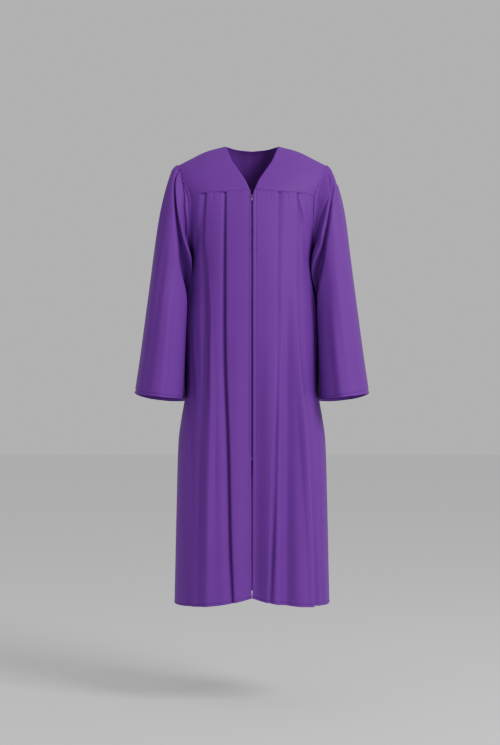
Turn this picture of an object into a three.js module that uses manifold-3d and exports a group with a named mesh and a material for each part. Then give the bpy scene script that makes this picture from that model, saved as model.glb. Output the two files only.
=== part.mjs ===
// Choir robe: a full-length zip-front gown with a fitted yoke, pleated fronts and back, and bell sleeves
// gathered into the armholes. It keeps the hollow form that it has when it is worn.
// Millimetres, +Z up. The wearer faces -Y, with the right arm towards -X.
// The origin lies midway between the two points where the shoulders meet the neck.
import * as THREE from "three";
import { mergeVertices } from "three/addons/utils/BufferGeometryUtils.js";
import Module from "manifold-3d";

// ---- Driving sizes ----
const CLOTH = 1.4; // wall of the gown cloth
const YOKE_CLOTH = 1.8; // the yokes are cut double
const SEAM_GAP = 0.3; // between two pieces that are sewn together
const HALF_GAP = SEAM_GAP / 2;

const ZIP_GAP = 2.3; // from the centre line to the front's folded edge, beside the zip
const SLIT_GAP = 1.6; // the same, below the zip
const ZIP_TOP = 131; // drop of the foot of the neckline
const ZIP_END = 800; // drop of the zip's bottom stop

const UNDERARM = 276; // drop of the foot of the armhole
const FRONT_HEM = { centre: 1152, side: 1176, rise: 2.3 }; // the centre front is drawn up
const BACK_HEM = { centre: 1162, side: 1176, rise: 1.6 };
const BACK_YOKE = { centre: 150, end: 135 }; // drop of the back yoke seam

// ---- Tables ----
// The armhole seam. turn is the angle round it in degrees, from the shoulder tip by way of the front.
const ARMHOLE = [
  { turn: 0, x: 188, y: 4, z: -48 },
  { turn: 20, x: 184.5, y: -20, z: -58 },
  { turn: 42, x: 176, y: -43, z: -84 },
  { turn: 60, x: 165, y: -56, z: -110 },
  { turn: 76, x: 155.5, y: -62, z: -134 },
  { turn: 100, x: 154, y: -63, z: -180 },
  { turn: 135, x: 155.5, y: -48, z: -232 },
  { turn: 160, x: 156, y: -24, z: -264 },
  { turn: 180, x: 156, y: 2, z: -UNDERARM },
  { turn: 205, x: 158, y: 32, z: -262 },
  { turn: 235, x: 162, y: 60, z: -215 },
  { turn: 262, x: 166, y: 73, z: -170 },
  { turn: 284, x: 168, y: 73, z: -BACK_YOKE.end },
  { turn: 315, x: 178, y: 50, z: -88 },
  { turn: 340, x: 185.5, y: 27, z: -60 },
];
const FRONT_YOKE_TURN = 76; // where the front yoke seam meets the armhole
const BACK_YOKE_TURN = 284;
const SEAM_LEAN = 0.45; // how far the cloth's thickness leans outwards at the armhole

// The front neckline, from the shoulder to the yoke seam. way runs from 0 to 1.
const NECK_FRONT = [
  { way: 0, x: 68, y: 0, z: 0 },
  { way: 0.2, x: 61.5, y: -28, z: -17 },
  { way: 0.4, x: 51, y: -52, z: -42 },
  { way: 0.6, x: 35, y: -71, z: -67 },
  { way: 0.8, x: 18.5, y: -85, z: -92 },
  { way: 1, x: 6.2, y: -95.5, z: -118.5 },
];
// The back neckline, from the shoulder to the centre back.
const NECK_BACK = [
  { way: 0, x: 68, y: 0, z: 0 },
  { way: 0.3, x: 62, y: 27, z: 1 },
  { way: 0.65, x: 38, y: 52, z: -3 },
  { way: 1, x: 0, y: 61, z: -6 },
];
// The shoulder line, from the neck to the armhole.
const SHOULDER = [
  { way: 0, x: 68, y: 0, z: 0 },
  { way: 0.42, x: 118, y: 1, z: -13.5 },
  { way: 0.8, x: 164, y: 3, z: -35.5 },
  { way: 1, x: 188, y: 4, z: -48 },
];
// The front yoke seam falls from the centre to the armhole: share of the width, share of the fall.
const YOKE_FALL = [
  { share: 0, fall: 0 },
  { share: 0.19, fall: 0.24 },
  { share: 0.37, fall: 0.37 },
  { share: 0.65, fall: 0.46 },
  { share: 0.86, fall: 0.62 },
  { share: 1, fall: 1 },
];

// Plan of the body at a drop below the neck: how far forward or back the centre lies, how far the flat runs
// out from it as a share of the width, and the corner that the curve rounds on its way to the edge.
const FRONT_PLAN = [
  { drop: 118, centre: -95.5, flat: 0.42, cornerX: 0.75, cornerY: -88 },
  { drop: 160, centre: -108, flat: 0.46, cornerX: 0.83, cornerY: -90 },
  { drop: 215, centre: -119, flat: 0.5, cornerX: 0.91, cornerY: -87 },
  { drop: 250, centre: -124, flat: 0.53, cornerX: 0.96, cornerY: -84 },
  { drop: 263, centre: -125.5, flat: 0.54, cornerX: 0.98, cornerY: -88 },
  { drop: 276, centre: -127, flat: 0.55, cornerX: 0.99, cornerY: -98 },
  { drop: 340, centre: -131, flat: 0.57, cornerX: 1, cornerY: -99 },
  { drop: 500, centre: -134, flat: 0.58, cornerX: 1, cornerY: -98 },
  { drop: 800, centre: -139, flat: 0.57, cornerX: 1, cornerY: -100 },
  { drop: 1176, centre: -142, flat: 0.55, cornerX: 1, cornerY: -106 },
];
const BACK_PLAN = [
  { drop: 135, centre: 98, flat: 0.46, cornerX: 0.75, cornerY: 92 },
  { drop: 180, centre: 104, flat: 0.5, cornerX: 0.81, cornerY: 95 },
  { drop: 225, centre: 107, flat: 0.52, cornerX: 0.89, cornerY: 90 },
  { drop: 252, centre: 108, flat: 0.54, cornerX: 0.94, cornerY: 92 },
  { drop: 268, centre: 108.7, flat: 0.55, cornerX: 0.975, cornerY: 102 },
  { drop: 276, centre: 109, flat: 0.55, cornerX: 0.99, cornerY: 110 },
  { drop: 400, centre: 111, flat: 0.57, cornerX: 1, cornerY: 103 },
  { drop: 700, centre: 117, flat: 0.57, cornerX: 1, cornerY: 104 },
  { drop: 1176, centre: 134, flat: 0.55, cornerX: 1, cornerY: 110 },
];
// The side seam below the armhole.
const SIDE_SEAM = [
  { drop: 276, x: 156, y: 2 },
  { drop: 300, x: 153, y: 5 },
  { drop: 344, x: 156, y: 8 },
  { drop: 396, x: 163, y: 10 },
  { drop: 430, x: 167, y: 11 },
  { drop: 487, x: 170.5, y: 12 },
  { drop: 643, x: 173, y: 13 },
  { drop: 700, x: 182, y: 13 },
  { drop: 757, x: 189.5, y: 12 },
  { drop: 900, x: 194, y: 11 },
  { drop: 1176, x: 200, y: 9 },
];

// Knife pleats. edge is how far the folded edge lies from the centre, under how far the cloth goes back
// beneath it, step the depth of one layer. open turns the pleat into a soft ridge of that crest and dip.
const FRONT_PLEATS = {
  right: [
    [
      { drop: 118, edge: 64.5, under: 13, step: 2.6, open: 0, crest: 0, dip: 0 },
      { drop: 300, edge: 65.5, under: 14, step: 3.4, open: 0, crest: 0, dip: 0 },
      { drop: 551, edge: 64.5, under: 14, step: 4.2, open: 0, crest: 0, dip: 0 },
      { drop: 777, edge: 56.5, under: 12, step: 5.2, open: 0, crest: 0, dip: 0 },
      { drop: 1028, edge: 51, under: 9, step: 6, open: 0, crest: 0, dip: 0 },
      { drop: 1176, edge: 45, under: 7, step: 4, open: 0, crest: 0, dip: 0 },
    ],
    [
      { drop: 118, edge: 114, under: 11, step: 2.6, open: 0, crest: 3, dip: 2 },
      { drop: 225, edge: 120, under: 10, step: 3.4, open: 0.1, crest: 4, dip: 4 },
      { drop: 401, edge: 115, under: 8, step: 4, open: 0.45, crest: 5, dip: 5 },
      { drop: 602, edge: 104, under: 6, step: 4, open: 0.85, crest: 5, dip: 5 },
      { drop: 777, edge: 107, under: 6, step: 4, open: 1, crest: 5, dip: 4 },
      { drop: 1176, edge: 116, under: 6, step: 4, open: 1, crest: 4, dip: 3 },
    ],
  ],
  left: [
    [
      { drop: 118, edge: 66.5, under: 13, step: 2.4, open: 0, crest: 0, dip: 0 },
      { drop: 300, edge: 64.5, under: 14, step: 2.6, open: 0, crest: 0, dip: 0 },
      { drop: 576, edge: 63, under: 13, step: 3.4, open: 0, crest: 0, dip: 0 },
      { drop: 777, edge: 53.5, under: 11, step: 4.6, open: 0, crest: 0, dip: 0 },
      { drop: 1028, edge: 46, under: 8, step: 7, open: 0, crest: 0, dip: 0 },
      { drop: 1176, edge: 40, under: 6, step: 4.5, open: 0, crest: 0, dip: 0 },
    ],
    [
      { drop: 118, edge: 113, under: 11, step: 2.4, open: 0, crest: 3, dip: 2 },
      { drop: 237, edge: 116, under: 10, step: 2.8, open: 0.1, crest: 4, dip: 3 },
      { drop: 401, edge: 114, under: 8, step: 3.2, open: 0.4, crest: 5, dip: 4 },
      { drop: 602, edge: 119, under: 6, step: 4, open: 0.8, crest: 5, dip: 4 },
      { drop: 777, edge: 131, under: 6, step: 4, open: 1, crest: 5, dip: 4 },
      { drop: 1176, edge: 149, under: 6, step: 4, open: 1, crest: 4, dip: 3 },
    ],
  ],
};
const BACK_PLEATS = [
  [
    { drop: 135, edge: 46, under: 13, step: 2.6, open: 0, crest: 3, dip: 3 },
    { drop: 400, edge: 48, under: 13, step: 3.4, open: 0, crest: 4, dip: 4 },
    { drop: 800, edge: 52, under: 10, step: 4.6, open: 0.15, crest: 6, dip: 6 },
    { drop: 1176, edge: 58, under: 7, step: 4.6, open: 0.5, crest: 7, dip: 7 },
  ],
  [
    { drop: 135, edge: 102, under: 12, step: 2.6, open: 0, crest: 3, dip: 3 },
    { drop: 250, edge: 104, under: 10, step: 3.4, open: 0.1, crest: 4, dip: 4 },
    { drop: 400, edge: 106, under: 8, step: 4, open: 0.45, crest: 5, dip: 5 },
    { drop: 600, edge: 111, under: 6, step: 4, open: 0.85, crest: 5, dip: 5 },
    { drop: 800, edge: 117, under: 6, step: 4, open: 1, crest: 5, dip: 6 },
    { drop: 1176, edge: 130, under: 6, step: 4, open: 1, crest: 6, dip: 6 },
  ],
];

// Broad waves of the hanging cloth: how far out they stand at three drops, round a place with a half width.
const FRONT_WAVES = {
  right: [
    { at: 0, wide: 46, high: -2, mid: -8, low: -14 },
    { at: 112, wide: 52, high: 0, mid: 5, low: 10 },
    { at: 168, wide: 20, high: 0, mid: -3, low: -6 },
  ],
  left: [
    { at: 0, wide: 46, high: -2, mid: -8, low: -14 },
    { at: 118, wide: 56, high: 0, mid: 5, low: 10 },
    { at: 176, wide: 20, high: 0, mid: -2, low: -4 },
  ],
};
const BACK_WAVES = [
  { at: 0, wide: 34, high: 0, mid: 4, low: 8 },
  { at: 84, wide: 24, high: 0, mid: -3, low: -7 },
];
const WAVE_DROPS = { high: 380, mid: 700, low: 1100 };

// Short tucks just under the yoke seam: their places as shares of the cloth between the centre and the first
// pleat, and between the two pleats. They fade out a little way down.
const FRONT_TUCKS = {
  right: [[0.52, 0.82], [0.55]],
  left: [[0.46, 0.78], [0.5]],
};
const TUCK = { wide: 3.2, deep: 1.7, fade: 34 };

// Bell sleeve, ring by ring: how much it still keeps the armhole's form, its outer and inner line, how far
// it reaches forward and back, and the depth of the gathers.
const SLEEVE = [
  {
    way: 0.035, seam: 1, outX: 200, outZ: -53, inX: 163, inZ: -281,
    front: -69, back: 79, gather: 1.2,
  },
  {
    way: 0.08, seam: 0.55, outX: 208.5, outZ: -67, inX: 162, inZ: -291,
    front: -78, back: 87, gather: 2,
  },
  {
    way: 0.125, seam: 0.28, outX: 214.5, outZ: -83, inX: 158, inZ: -303,
    front: -84, back: 92, gather: 2,
  },
  {
    way: 0.18, seam: 0.13, outX: 221, outZ: -103, inX: 156.8, inZ: -318,
    front: -89, back: 96, gather: 1.7,
  },
  {
    way: 0.25, seam: 0.04, outX: 229, outZ: -135, inX: 158.6, inZ: -340,
    front: -93, back: 100, gather: 1.2,
  },
  {
    way: 0.34, seam: 0, outX: 239, outZ: -184, inX: 163, inZ: -372,
    front: -97, back: 103, gather: 0.7,
  },
  {
    way: 0.45, seam: 0, outX: 250, outZ: -256, inX: 168.6, inZ: -415,
    front: -101, back: 105, gather: 0.3,
  },
  {
    way: 0.57, seam: 0, outX: 261, outZ: -341, inX: 172.8, inZ: -467,
    front: -106, back: 106, gather: 0,
  },
  {
    way: 0.71, seam: 0, outX: 273, outZ: -431, inX: 174.4, inZ: -526,
    front: -111, back: 107, gather: 0,
  },
  {
    way: 0.86, seam: 0, outX: 287.5, outZ: -539, inX: 175.8, inZ: -592,
    front: -117, back: 106, gather: 0,
  },
  {
    way: 1, seam: 0, outX: 302, outZ: -636, inX: 178, inZ: -651,
    front: -122, back: 104, gather: 0,
  },
];
const SEAM_RUN = 140; // how far the sleeve runs straight out from the armhole, for its first rings
const CUFF_BACK_FALL = 13; // the back of the cuff hangs lower
const GATHER_SPAN = 104; // degrees that the gathers reach to each side of the shoulder tip
const GATHER_PITCH = 5.4; // degrees from a crest to the next dip
// Long folds of the sleeve front: turn and depth at a way down the sleeve.
const SLEEVE_FOLDS = [
  {
    wide: 30,
    path: [
      { way: 0.03, turn: 34, deep: 1 },
      { way: 0.08, turn: 46, deep: 6 },
      { way: 0.16, turn: 70, deep: 10 },
      { way: 0.25, turn: 95, deep: 14 },
      { way: 0.34, turn: 112, deep: 17 },
      { way: 0.45, turn: 138, deep: 15 },
      { way: 0.57, turn: 160, deep: 7 },
      { way: 0.7, turn: 175, deep: 0 },
    ],
  },
  {
    wide: 22,
    path: [
      { way: 0.02, turn: 56, deep: 1 },
      { way: 0.08, turn: 84, deep: 5 },
      { way: 0.125, turn: 112, deep: 6 },
      { way: 0.18, turn: 138, deep: 5 },
      { way: 0.26, turn: 165, deep: 0 },
    ],
  },
  {
    wide: 28,
    path: [
      { way: 0.03, turn: 322, deep: 1 },
      { way: 0.16, turn: 296, deep: 7 },
      { way: 0.3, turn: 268, deep: 9 },
      { way: 0.5, turn: 240, deep: 5 },
      { way: 0.7, turn: 225, deep: 0 },
    ],
  },
];

// Zip hardware. The slider and its pull are in a frame of their own: x across, y up the zip, z outwards.
const TAPE = { thick: 0.8, inner: 0.7, outer: 13, end: 807 };
const CHAIN = { half: 1.6, thick: 0.9, front: 0.2 };
const STOP = { half: 1.6, long: 4, back: -0.7, front: 0.7 };
const SLIDER = {
  drop: 137,
  half: 2.7,
  long: 8,
  front: [0.5, 1.4],
  back: [-2.8, -2.1],
  flange: [2.05, -0.65],
  web: { half: 0.4, from: 1.6, to: 3.6 },
};
const BRIDGE = { half: 0.65, leg: 0.9, span: 5.3, high: 2.9, bar: 0.85, sunk: 0.1 };
const PULL = { bar: 0.6, armIn: 0.95, armOut: 1.9, thick: 0.9, slot: 4.6, long: 11.6, tipHalf: 2.3 };
const HINGE = { up: -0.85, out: 0.9 }; // the pull's bar in the bridge, from the bridge's middle and its foot

// ---- Shared curves ----
const radians = THREE.MathUtils.degToRad;
const lerp = THREE.MathUtils.lerp;
const clamp = THREE.MathUtils.clamp;
const ease = (t) => THREE.MathUtils.smoothstep(t, 0, 1);

// Value of a table's column at a place, on a smooth curve through its rows. A period closes the table.
function column(rows, by, key, at, period = 0) {
  const last = rows.length - 1;
  if (!period) {
    if (at <= rows[0][by]) return rows[0][key];
    if (at >= rows[last][by]) return rows[last][key];
  }
  const place = (i) => {
    if (!period) return rows[clamp(i, 0, last)][by];
    return rows[(i + rows.length) % rows.length][by] + period * Math.floor(i / rows.length);
  };
  const value = (i) => rows[period ? (i + rows.length) % rows.length : clamp(i, 0, last)][key];
  const x = period ? ((at % period) + period) % period : at;
  let i = 0;
  while (place(i + 1) <= x) i++;
  const width = place(i + 1) - place(i);
  const slope = (j) => (value(j + 1) - value(j - 1)) / (place(j + 1) - place(j - 1) || 1);
  const t = (x - place(i)) / width;
  const [t2, t3] = [t * t, t * t * t];
  return (
    value(i) * (2 * t3 - 3 * t2 + 1) +
    slope(i) * width * (t3 - 2 * t2 + t) +
    value(i + 1) * (3 * t2 - 2 * t3) +
    slope(i + 1) * width * (t3 - t2)
  );
}
const pointOn = (rows, at) =>
  new THREE.Vector3(column(rows, "way", "x", at), column(rows, "way", "y", at), column(rows, "way", "z", at));
const armhole = (turn) =>
  new THREE.Vector3(
    column(ARMHOLE, "turn", "x", turn, 360),
    column(ARMHOLE, "turn", "y", turn, 360),
    column(ARMHOLE, "turn", "z", turn, 360),
  );
// The way that the cloth's thickness points at the armhole seam, shared by all the pieces that meet there.
function armholeNormal(turn) {
  const a = radians(turn);
  return new THREE.Vector3(SEAM_LEAN, -Math.sin(a), Math.cos(a)).normalize();
}
// Turn at which the armhole lies at a drop, on its front or back.
function armholeTurn(drop, isFront) {
  let [low, high] = isFront ? [0, 180] : [360, 180];
  for (let i = 0; i < 40; i++) {
    const middle = (low + high) / 2;
    if (-armhole(middle).z < drop) low = middle;
    else high = middle;
  }
  return (low + high) / 2;
}

// Rows of the front and back, and the turns round the armhole at which all its pieces have a corner.
const FRONT_UPPER = [145, 154, 170, 200, 234, 262];
const BACK_UPPER = [158, 190, 225, 252, 268];
const LOWER = [UNDERARM, 300, 344, 410, 510, 640, 757, 890, 1040];
const YOKE_ROWS = 7;
const count = (n) => Array.from({ length: n }, (_, i) => i);
const SEAM_TURNS = [
  ...count(YOKE_ROWS).map((i) => (FRONT_YOKE_TURN * i) / YOKE_ROWS),
  FRONT_YOKE_TURN,
  ...FRONT_UPPER.map((drop) => armholeTurn(drop, true)),
  180,
  ...BACK_UPPER.map((drop) => armholeTurn(drop, false)).reverse(),
  ...count(YOKE_ROWS).map((i) => BACK_YOKE_TURN + ((360 - BACK_YOKE_TURN) * i) / YOKE_ROWS),
];

// Bell of height 1 at 0, down to 0 at 1.
const bell = (t) => (Math.abs(t) >= 1 ? 0 : (1 + Math.cos(Math.PI * t)) / 2);

// ---- The body below the yoke ----
// Plan curve of one half at a drop, from the centre to its edge, measured along its length.
function planCurve(isFront, drop, edge) {
  const take = (key) => column(isFront ? FRONT_PLAN : BACK_PLAN, "drop", key, drop);
  const curve = new THREE.CubicBezierCurve(
    new THREE.Vector2(0, take("centre")),
    new THREE.Vector2(take("flat") * edge.x, take("centre")),
    new THREE.Vector2(take("cornerX") * edge.x, take("cornerY")),
    new THREE.Vector2(edge.x, edge.y),
  );
  curve.arcLengthDivisions = 60;
  return curve;
}
// Distance along a plan curve at which it is this far out from the centre.
function lengthOut(curve, x) {
  let [low, high] = [0, 1];
  for (let i = 0; i < 24; i++) {
    const middle = (low + high) / 2;
    if (curve.getPointAt(middle).x < x) low = middle;
    else high = middle;
  }
  return low * curve.getLength();
}

function waveDepth(waves, at, drop) {
  return waves.reduce((sum, wave) => {
    const upper = lerp(0, wave.high, ease((drop - 150) / (WAVE_DROPS.high - 150)));
    const middle = lerp(upper, wave.mid, ease((drop - WAVE_DROPS.high) / (WAVE_DROPS.mid - WAVE_DROPS.high)));
    const size = lerp(middle, wave.low, ease((drop - WAVE_DROPS.mid) / (WAVE_DROPS.low - WAVE_DROPS.mid)));
    return sum + size * bell((at - wave.at) / wave.wide);
  }, 0);
}

// One pleat across the cloth, as places along it and depths: folded shut, and open as a soft ridge.
function pleatLine(rows, drop, curve) {
  const take = (key) => column(rows, "drop", key, drop);
  const [edge, under, step, open, crest, dip] = ["edge", "under", "step", "open", "crest", "dip"].map(take);
  const turn = 0.4 * step;
  const shut = [
    [-14, 0],
    [-turn, 0],
    [0, -step / 2],
    [-turn, -step],
    [-under, -step],
    [-under - turn, -1.5 * step],
    [-under, -2 * step],
    [8, -2 * step],
    [20, -0.7 * step],
  ];
  const soft = [
    [-17, 0],
    [-10, crest * 0.55],
    [-3, crest],
    [4, crest * 0.6],
    [9, 0],
    [14, -dip * 0.7],
    [19, -dip],
    [26, -dip * 0.75],
    [34, -dip * 0.2],
  ];
  const centre = lengthOut(curve, edge);
  return shut.map(([at, deep], i) => ({
    at: centre + lerp(at, soft[i][0], open),
    deep: lerp(deep, soft[i][1], open),
  }));
}

// The places along one row of a half, from the centre edge to the outer edge, each with its fold depth.
function rowLine({ start, curve, drop, top, pleats, tucks, waves }) {
  const length = curve.getLength();
  const line = [{ at: start, deep: 0 }];
  const tuckDeep = TUCK.deep * clamp(1 - (drop - top) / TUCK.fade, 0, 1) ** 1.5;
  pleats.forEach((rows, i) => {
    const fold = pleatLine(rows, drop, curve);
    const from = line[line.length - 1].at;
    const span = fold[0].at - from;
    if (!i) line.push({ at: from + span * 0.14, deep: 0 });
    (tucks[i] ?? [0.5]).forEach((share) => {
      const wide = Math.min(TUCK.wide, span * 0.12);
      const sides = tucks[i] ? [-1, 0, 1] : [0];
      sides.forEach((k) => line.push({ at: from + span * share + k * wide, deep: k ? 0 : -tuckDeep }));
    });
    line.push(...fold);
  });
  const from = line[line.length - 1].at;
  [0.2, 0.4, 0.58, 0.75, 0.89, 1].forEach((t) => line.push({ at: lerp(from, length, t), deep: 0 }));
  return line.map(({ at, deep }) => ({ at, deep: deep + waveDepth(waves, at, drop) * edgeFade(at, length) }));
}
// Folds die away at the outer edge, where the next piece is sewn on.
const edgeFade = (at, length) => ease((length - at) / 26);

// Outer edge of a row: on the armhole above the underarm, on the side seam below it.
function bodyEdge(isFront, drop) {
  if (drop < UNDERARM) {
    const turn = armholeTurn(drop, isFront);
    return { point: armhole(turn), normal: armholeNormal(turn) };
  }
  const x = column(SIDE_SEAM, "drop", "x", drop);
  const y = column(SIDE_SEAM, "drop", "y", drop);
  const under = ease((drop - UNDERARM) / 24);
  const normal = new THREE.Vector3(1, 0, 0).lerp(armholeNormal(180), 1 - under).normalize();
  return { point: new THREE.Vector3(x, y, -drop), normal };
}

// Rows down the body: the drop at the centre and the drop at the edge.
function bodyRows(topCentre, topEdge, hem, drops) {
  const rows = [{ centre: topCentre, edge: topEdge }];
  drops.forEach((drop) => {
    const t = ease((drop - topEdge) / (UNDERARM - topEdge));
    rows.push({ centre: drop + (topCentre - topEdge) * (1 - t), edge: drop });
  });
  rows.push({ centre: hem.centre, edge: hem.side });
  return rows;
}

// A point on a row of the front or back, at a length along its plan curve and a depth in or out from it.
function rowPoint(isFront, row, curve, at, deep, fallAt) {
  const u = clamp(at / curve.getLength(), 0, 1);
  const on = curve.getPointAt(u);
  const tangent = curve.getTangentAt(u);
  const out = new THREE.Vector2(tangent.y, -tangent.x).multiplyScalar(isFront ? 1 : -1);
  const share = clamp(on.x / curve.v3.x, 0, 1);
  const drop = lerp(row.centre, row.edge, fallAt(share));
  const plan = isFront ? FRONT_PLAN : BACK_PLAN;
  const lift = column(plan, "drop", "centre", drop) - column(plan, "drop", "centre", row.edge);
  return new THREE.Vector3(on.x + out.x * deep, on.y + out.y * deep + lift * (1 - share ** 2), -drop);
}

// Middle points of one half of the front or back, with the shared normals of its sewn edge.
function bodyHalf({ isFront, rows, hem, startAt, pleats, tucks, waves }) {
  const points = [];
  const edgeNormals = [];
  rows.forEach((row, r) => {
    const { point, normal } = bodyEdge(isFront, row.edge);
    const curve = planCurve(isFront, row.edge, point);
    const top = rows[0].edge;
    const line = rowLine({ start: startAt(row.centre), curve, drop: row.edge, top, pleats, tucks, waves });
    const fallAt = (share) => {
      if (r === rows.length - 1) return 1 - (1 - share) ** hem.rise;
      return r === 0 && isFront ? column(YOKE_FALL, "share", "fall", share) : share;
    };
    const grid = line.map(({ at, deep }) => rowPoint(isFront, row, curve, at, deep, fallAt));
    if (r === 0) grid.forEach((p) => (p.z -= SEAM_GAP));
    grid[grid.length - 1].y += isFront ? -HALF_GAP : HALF_GAP;
    points.push(grid);
    edgeNormals.push(normal);
  });
  return { points, edgeNormals };
}

// ---- Walls ----
// Way that a grid's surface faces at one of its places.
function facing(grid, r, c, round) {
  const cols = grid[0].length;
  const at = (i, j) => grid[i][round ? (j + cols) % cols : clamp(j, 0, cols - 1)];
  const across = at(r, c + 1).clone().sub(at(r, c - 1));
  const down = at(Math.min(r + 1, grid.length - 1), c).clone().sub(at(Math.max(r - 1, 0), c));
  return across.cross(down).normalize();
}
// A wall of cloth round a grid of middle points. Closed grids run right round. set(r, c) may give the way
// that the thickness points at a grid place, and otherwise it is square to the surface.
function wall(grid, thickness, { round = false, set = () => null } = {}) {
  const rows = grid.length;
  const cols = grid[0].length;
  const corners = [];
  for (const side of [1, -1]) {
    for (let r = 0; r < rows; r++) {
      for (let c = 0; c < cols; c++) {
        const square = facing(grid, r, c, round);
        const normal = set(r, c) ?? square;
        const way = normal.dot(square) < 0 ? -side : side;
        const p = grid[r][c].clone().addScaledVector(normal, (way * thickness) / 2);
        corners.push(p.x, p.y, p.z);
      }
    }
  }
  const id = (side, r, c) => (side * rows + r) * cols + (round ? (c + cols) % cols : c);
  const faces = [];
  const quad = (a, b, c, d) => faces.push(a, b, c, a, c, d);
  const spans = round ? cols : cols - 1;
  for (let r = 0; r < rows - 1; r++) {
    for (let c = 0; c < spans; c++) {
      quad(id(0, r, c), id(0, r + 1, c), id(0, r + 1, c + 1), id(0, r, c + 1));
      quad(id(1, r, c), id(1, r, c + 1), id(1, r + 1, c + 1), id(1, r + 1, c));
    }
  }
  for (let c = 0; c < spans; c++) {
    quad(id(0, 0, c), id(0, 0, c + 1), id(1, 0, c + 1), id(1, 0, c));
    const r = rows - 1;
    quad(id(0, r, c), id(1, r, c), id(1, r, c + 1), id(0, r, c + 1));
  }
  if (!round) {
    for (let r = 0; r < rows - 1; r++) {
      const c = cols - 1;
      quad(id(0, r, 0), id(1, r, 0), id(1, r + 1, 0), id(0, r + 1, 0));
      quad(id(0, r, c), id(0, r + 1, c), id(1, r + 1, c), id(1, r, c));
    }
  }
  const geometry = new THREE.BufferGeometry();
  geometry.setAttribute("position", new THREE.Float32BufferAttribute(corners, 3));
  geometry.setIndex(volume(corners, faces) < 0 ? faces.reverse() : faces);
  return geometry;
}
function volume(corners, faces) {
  const p = (i) => new THREE.Vector3().fromArray(corners, 3 * i);
  let sum = 0;
  for (let i = 0; i < faces.length; i += 3) sum += p(faces[i]).dot(p(faces[i + 1]).cross(p(faces[i + 2])));
  return sum / 6;
}
const mirrored = (grid) => grid.map((row) => row.map((p) => new THREE.Vector3(-p.x, p.y, p.z)));
const flipX = (v) => new THREE.Vector3(-v.x, v.y, v.z);

// ---- Materials ----
const cloth = new THREE.MeshStandardMaterial({ color: 0x6b3fa0, roughness: 0.62, metalness: 0 });
const tapeCloth = new THREE.MeshStandardMaterial({ color: 0x4a2a78, roughness: 0.8, metalness: 0 });
const coil = new THREE.MeshStandardMaterial({ color: 0x3b2160, roughness: 0.45, metalness: 0 });
const nickel = new THREE.MeshStandardMaterial({ color: 0x9a8fae, roughness: 0.3, metalness: 0.9 });

const robe = new THREE.Group();
function add(name, geometry, material) {
  const mesh = new THREE.Mesh(geometry, material);
  mesh.name = name;
  robe.add(mesh);
  return mesh;
}

// ---- Fronts: pleated into the yoke, folded back at the centre over the zip ----
const neckFoot = NECK_FRONT[NECK_FRONT.length - 1];
const FRONT_EDGE = [
  { drop: -neckFoot.z, at: neckFoot.x },
  { drop: 125, at: 4.4 },
  { drop: ZIP_TOP, at: SLIDER.half + 0.5 },
  { drop: SLIDER.drop + SLIDER.long / 2, at: SLIDER.half + 0.5 },
  { drop: 156, at: ZIP_GAP },
  { drop: ZIP_END, at: ZIP_GAP },
  { drop: ZIP_END + 80, at: SLIT_GAP },
];
const frontStart = (drop) => column(FRONT_EDGE, "drop", "at", drop);
const frontRows = bodyRows(-neckFoot.z, -armhole(FRONT_YOKE_TURN).z, FRONT_HEM, [...FRONT_UPPER, ...LOWER]);
for (const name of ["right", "left"]) {
  const { points, edgeNormals } = bodyHalf({
    isFront: true,
    rows: frontRows,
    hem: FRONT_HEM,
    startAt: frontStart,
    pleats: FRONT_PLEATS[name],
    tucks: FRONT_TUCKS[name],
    waves: FRONT_WAVES[name],
  });
  const last = points[0].length - 1;
  const isRight = name === "right";
  const grid = isRight ? mirrored(points) : points;
  const set = (r, c) => {
    if (c !== last) return null;
    return isRight ? flipX(edgeNormals[r]) : edgeNormals[r].clone();
  };
  add("front_" + name, wall(grid, CLOTH, { set }), cloth);
}

// ---- Back: one width, pleated into the back yoke ----
const backRows = bodyRows(BACK_YOKE.centre, BACK_YOKE.end, BACK_HEM, [...BACK_UPPER, ...LOWER]);
{
  const { points, edgeNormals } = bodyHalf({
    isFront: false,
    rows: backRows,
    hem: BACK_HEM,
    startAt: () => 0,
    pleats: BACK_PLEATS,
    tucks: [],
    waves: BACK_WAVES,
  });
  const right = mirrored(points).map((row) => row.slice(1).reverse());
  const grid = points.map((row, r) => [...right[r], ...row]);
  const last = grid[0].length - 1;
  const set = (r, c) => {
    if (c === 0) return flipX(edgeNormals[r]);
    return c === last ? edgeNormals[r].clone() : null;
  };
  add("back", wall(grid, CLOTH, { set }), cloth);
}

// ---- Yokes: a patch stretched between its four edges ----
function patch(top, bottom, left, right, cols, rows, spread = (u) => u) {
  const [a, b, c, d] = [top(0), top(1), bottom(0), bottom(1)];
  return Array.from({ length: rows + 1 }, (_, j) => {
    const v = j / rows;
    return Array.from({ length: cols + 1 }, (_, i) => {
      const u = spread(i / cols);
      const across = left(v).lerp(right(v), u);
      const downwards = top(u).lerp(bottom(u), v);
      const corner = a.clone().lerp(b, u).lerp(c.clone().lerp(d, u), v);
      return across.add(downwards).sub(corner);
    });
  });
}
const shoulderNormal = new THREE.Vector3(0.32, 0, 0.95).normalize();
const YOKE_COLS = 12;
const seamEnd = armhole(FRONT_YOKE_TURN);
const frontSeam = planCurve(true, -seamEnd.z, seamEnd);
function yokeSeamPoint(u) {
  const at = lerp(neckFoot.x, frontSeam.getLength(), u);
  return rowPoint(true, frontRows[0], frontSeam, at, 0, (share) => column(YOKE_FALL, "share", "fall", share));
}
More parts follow.
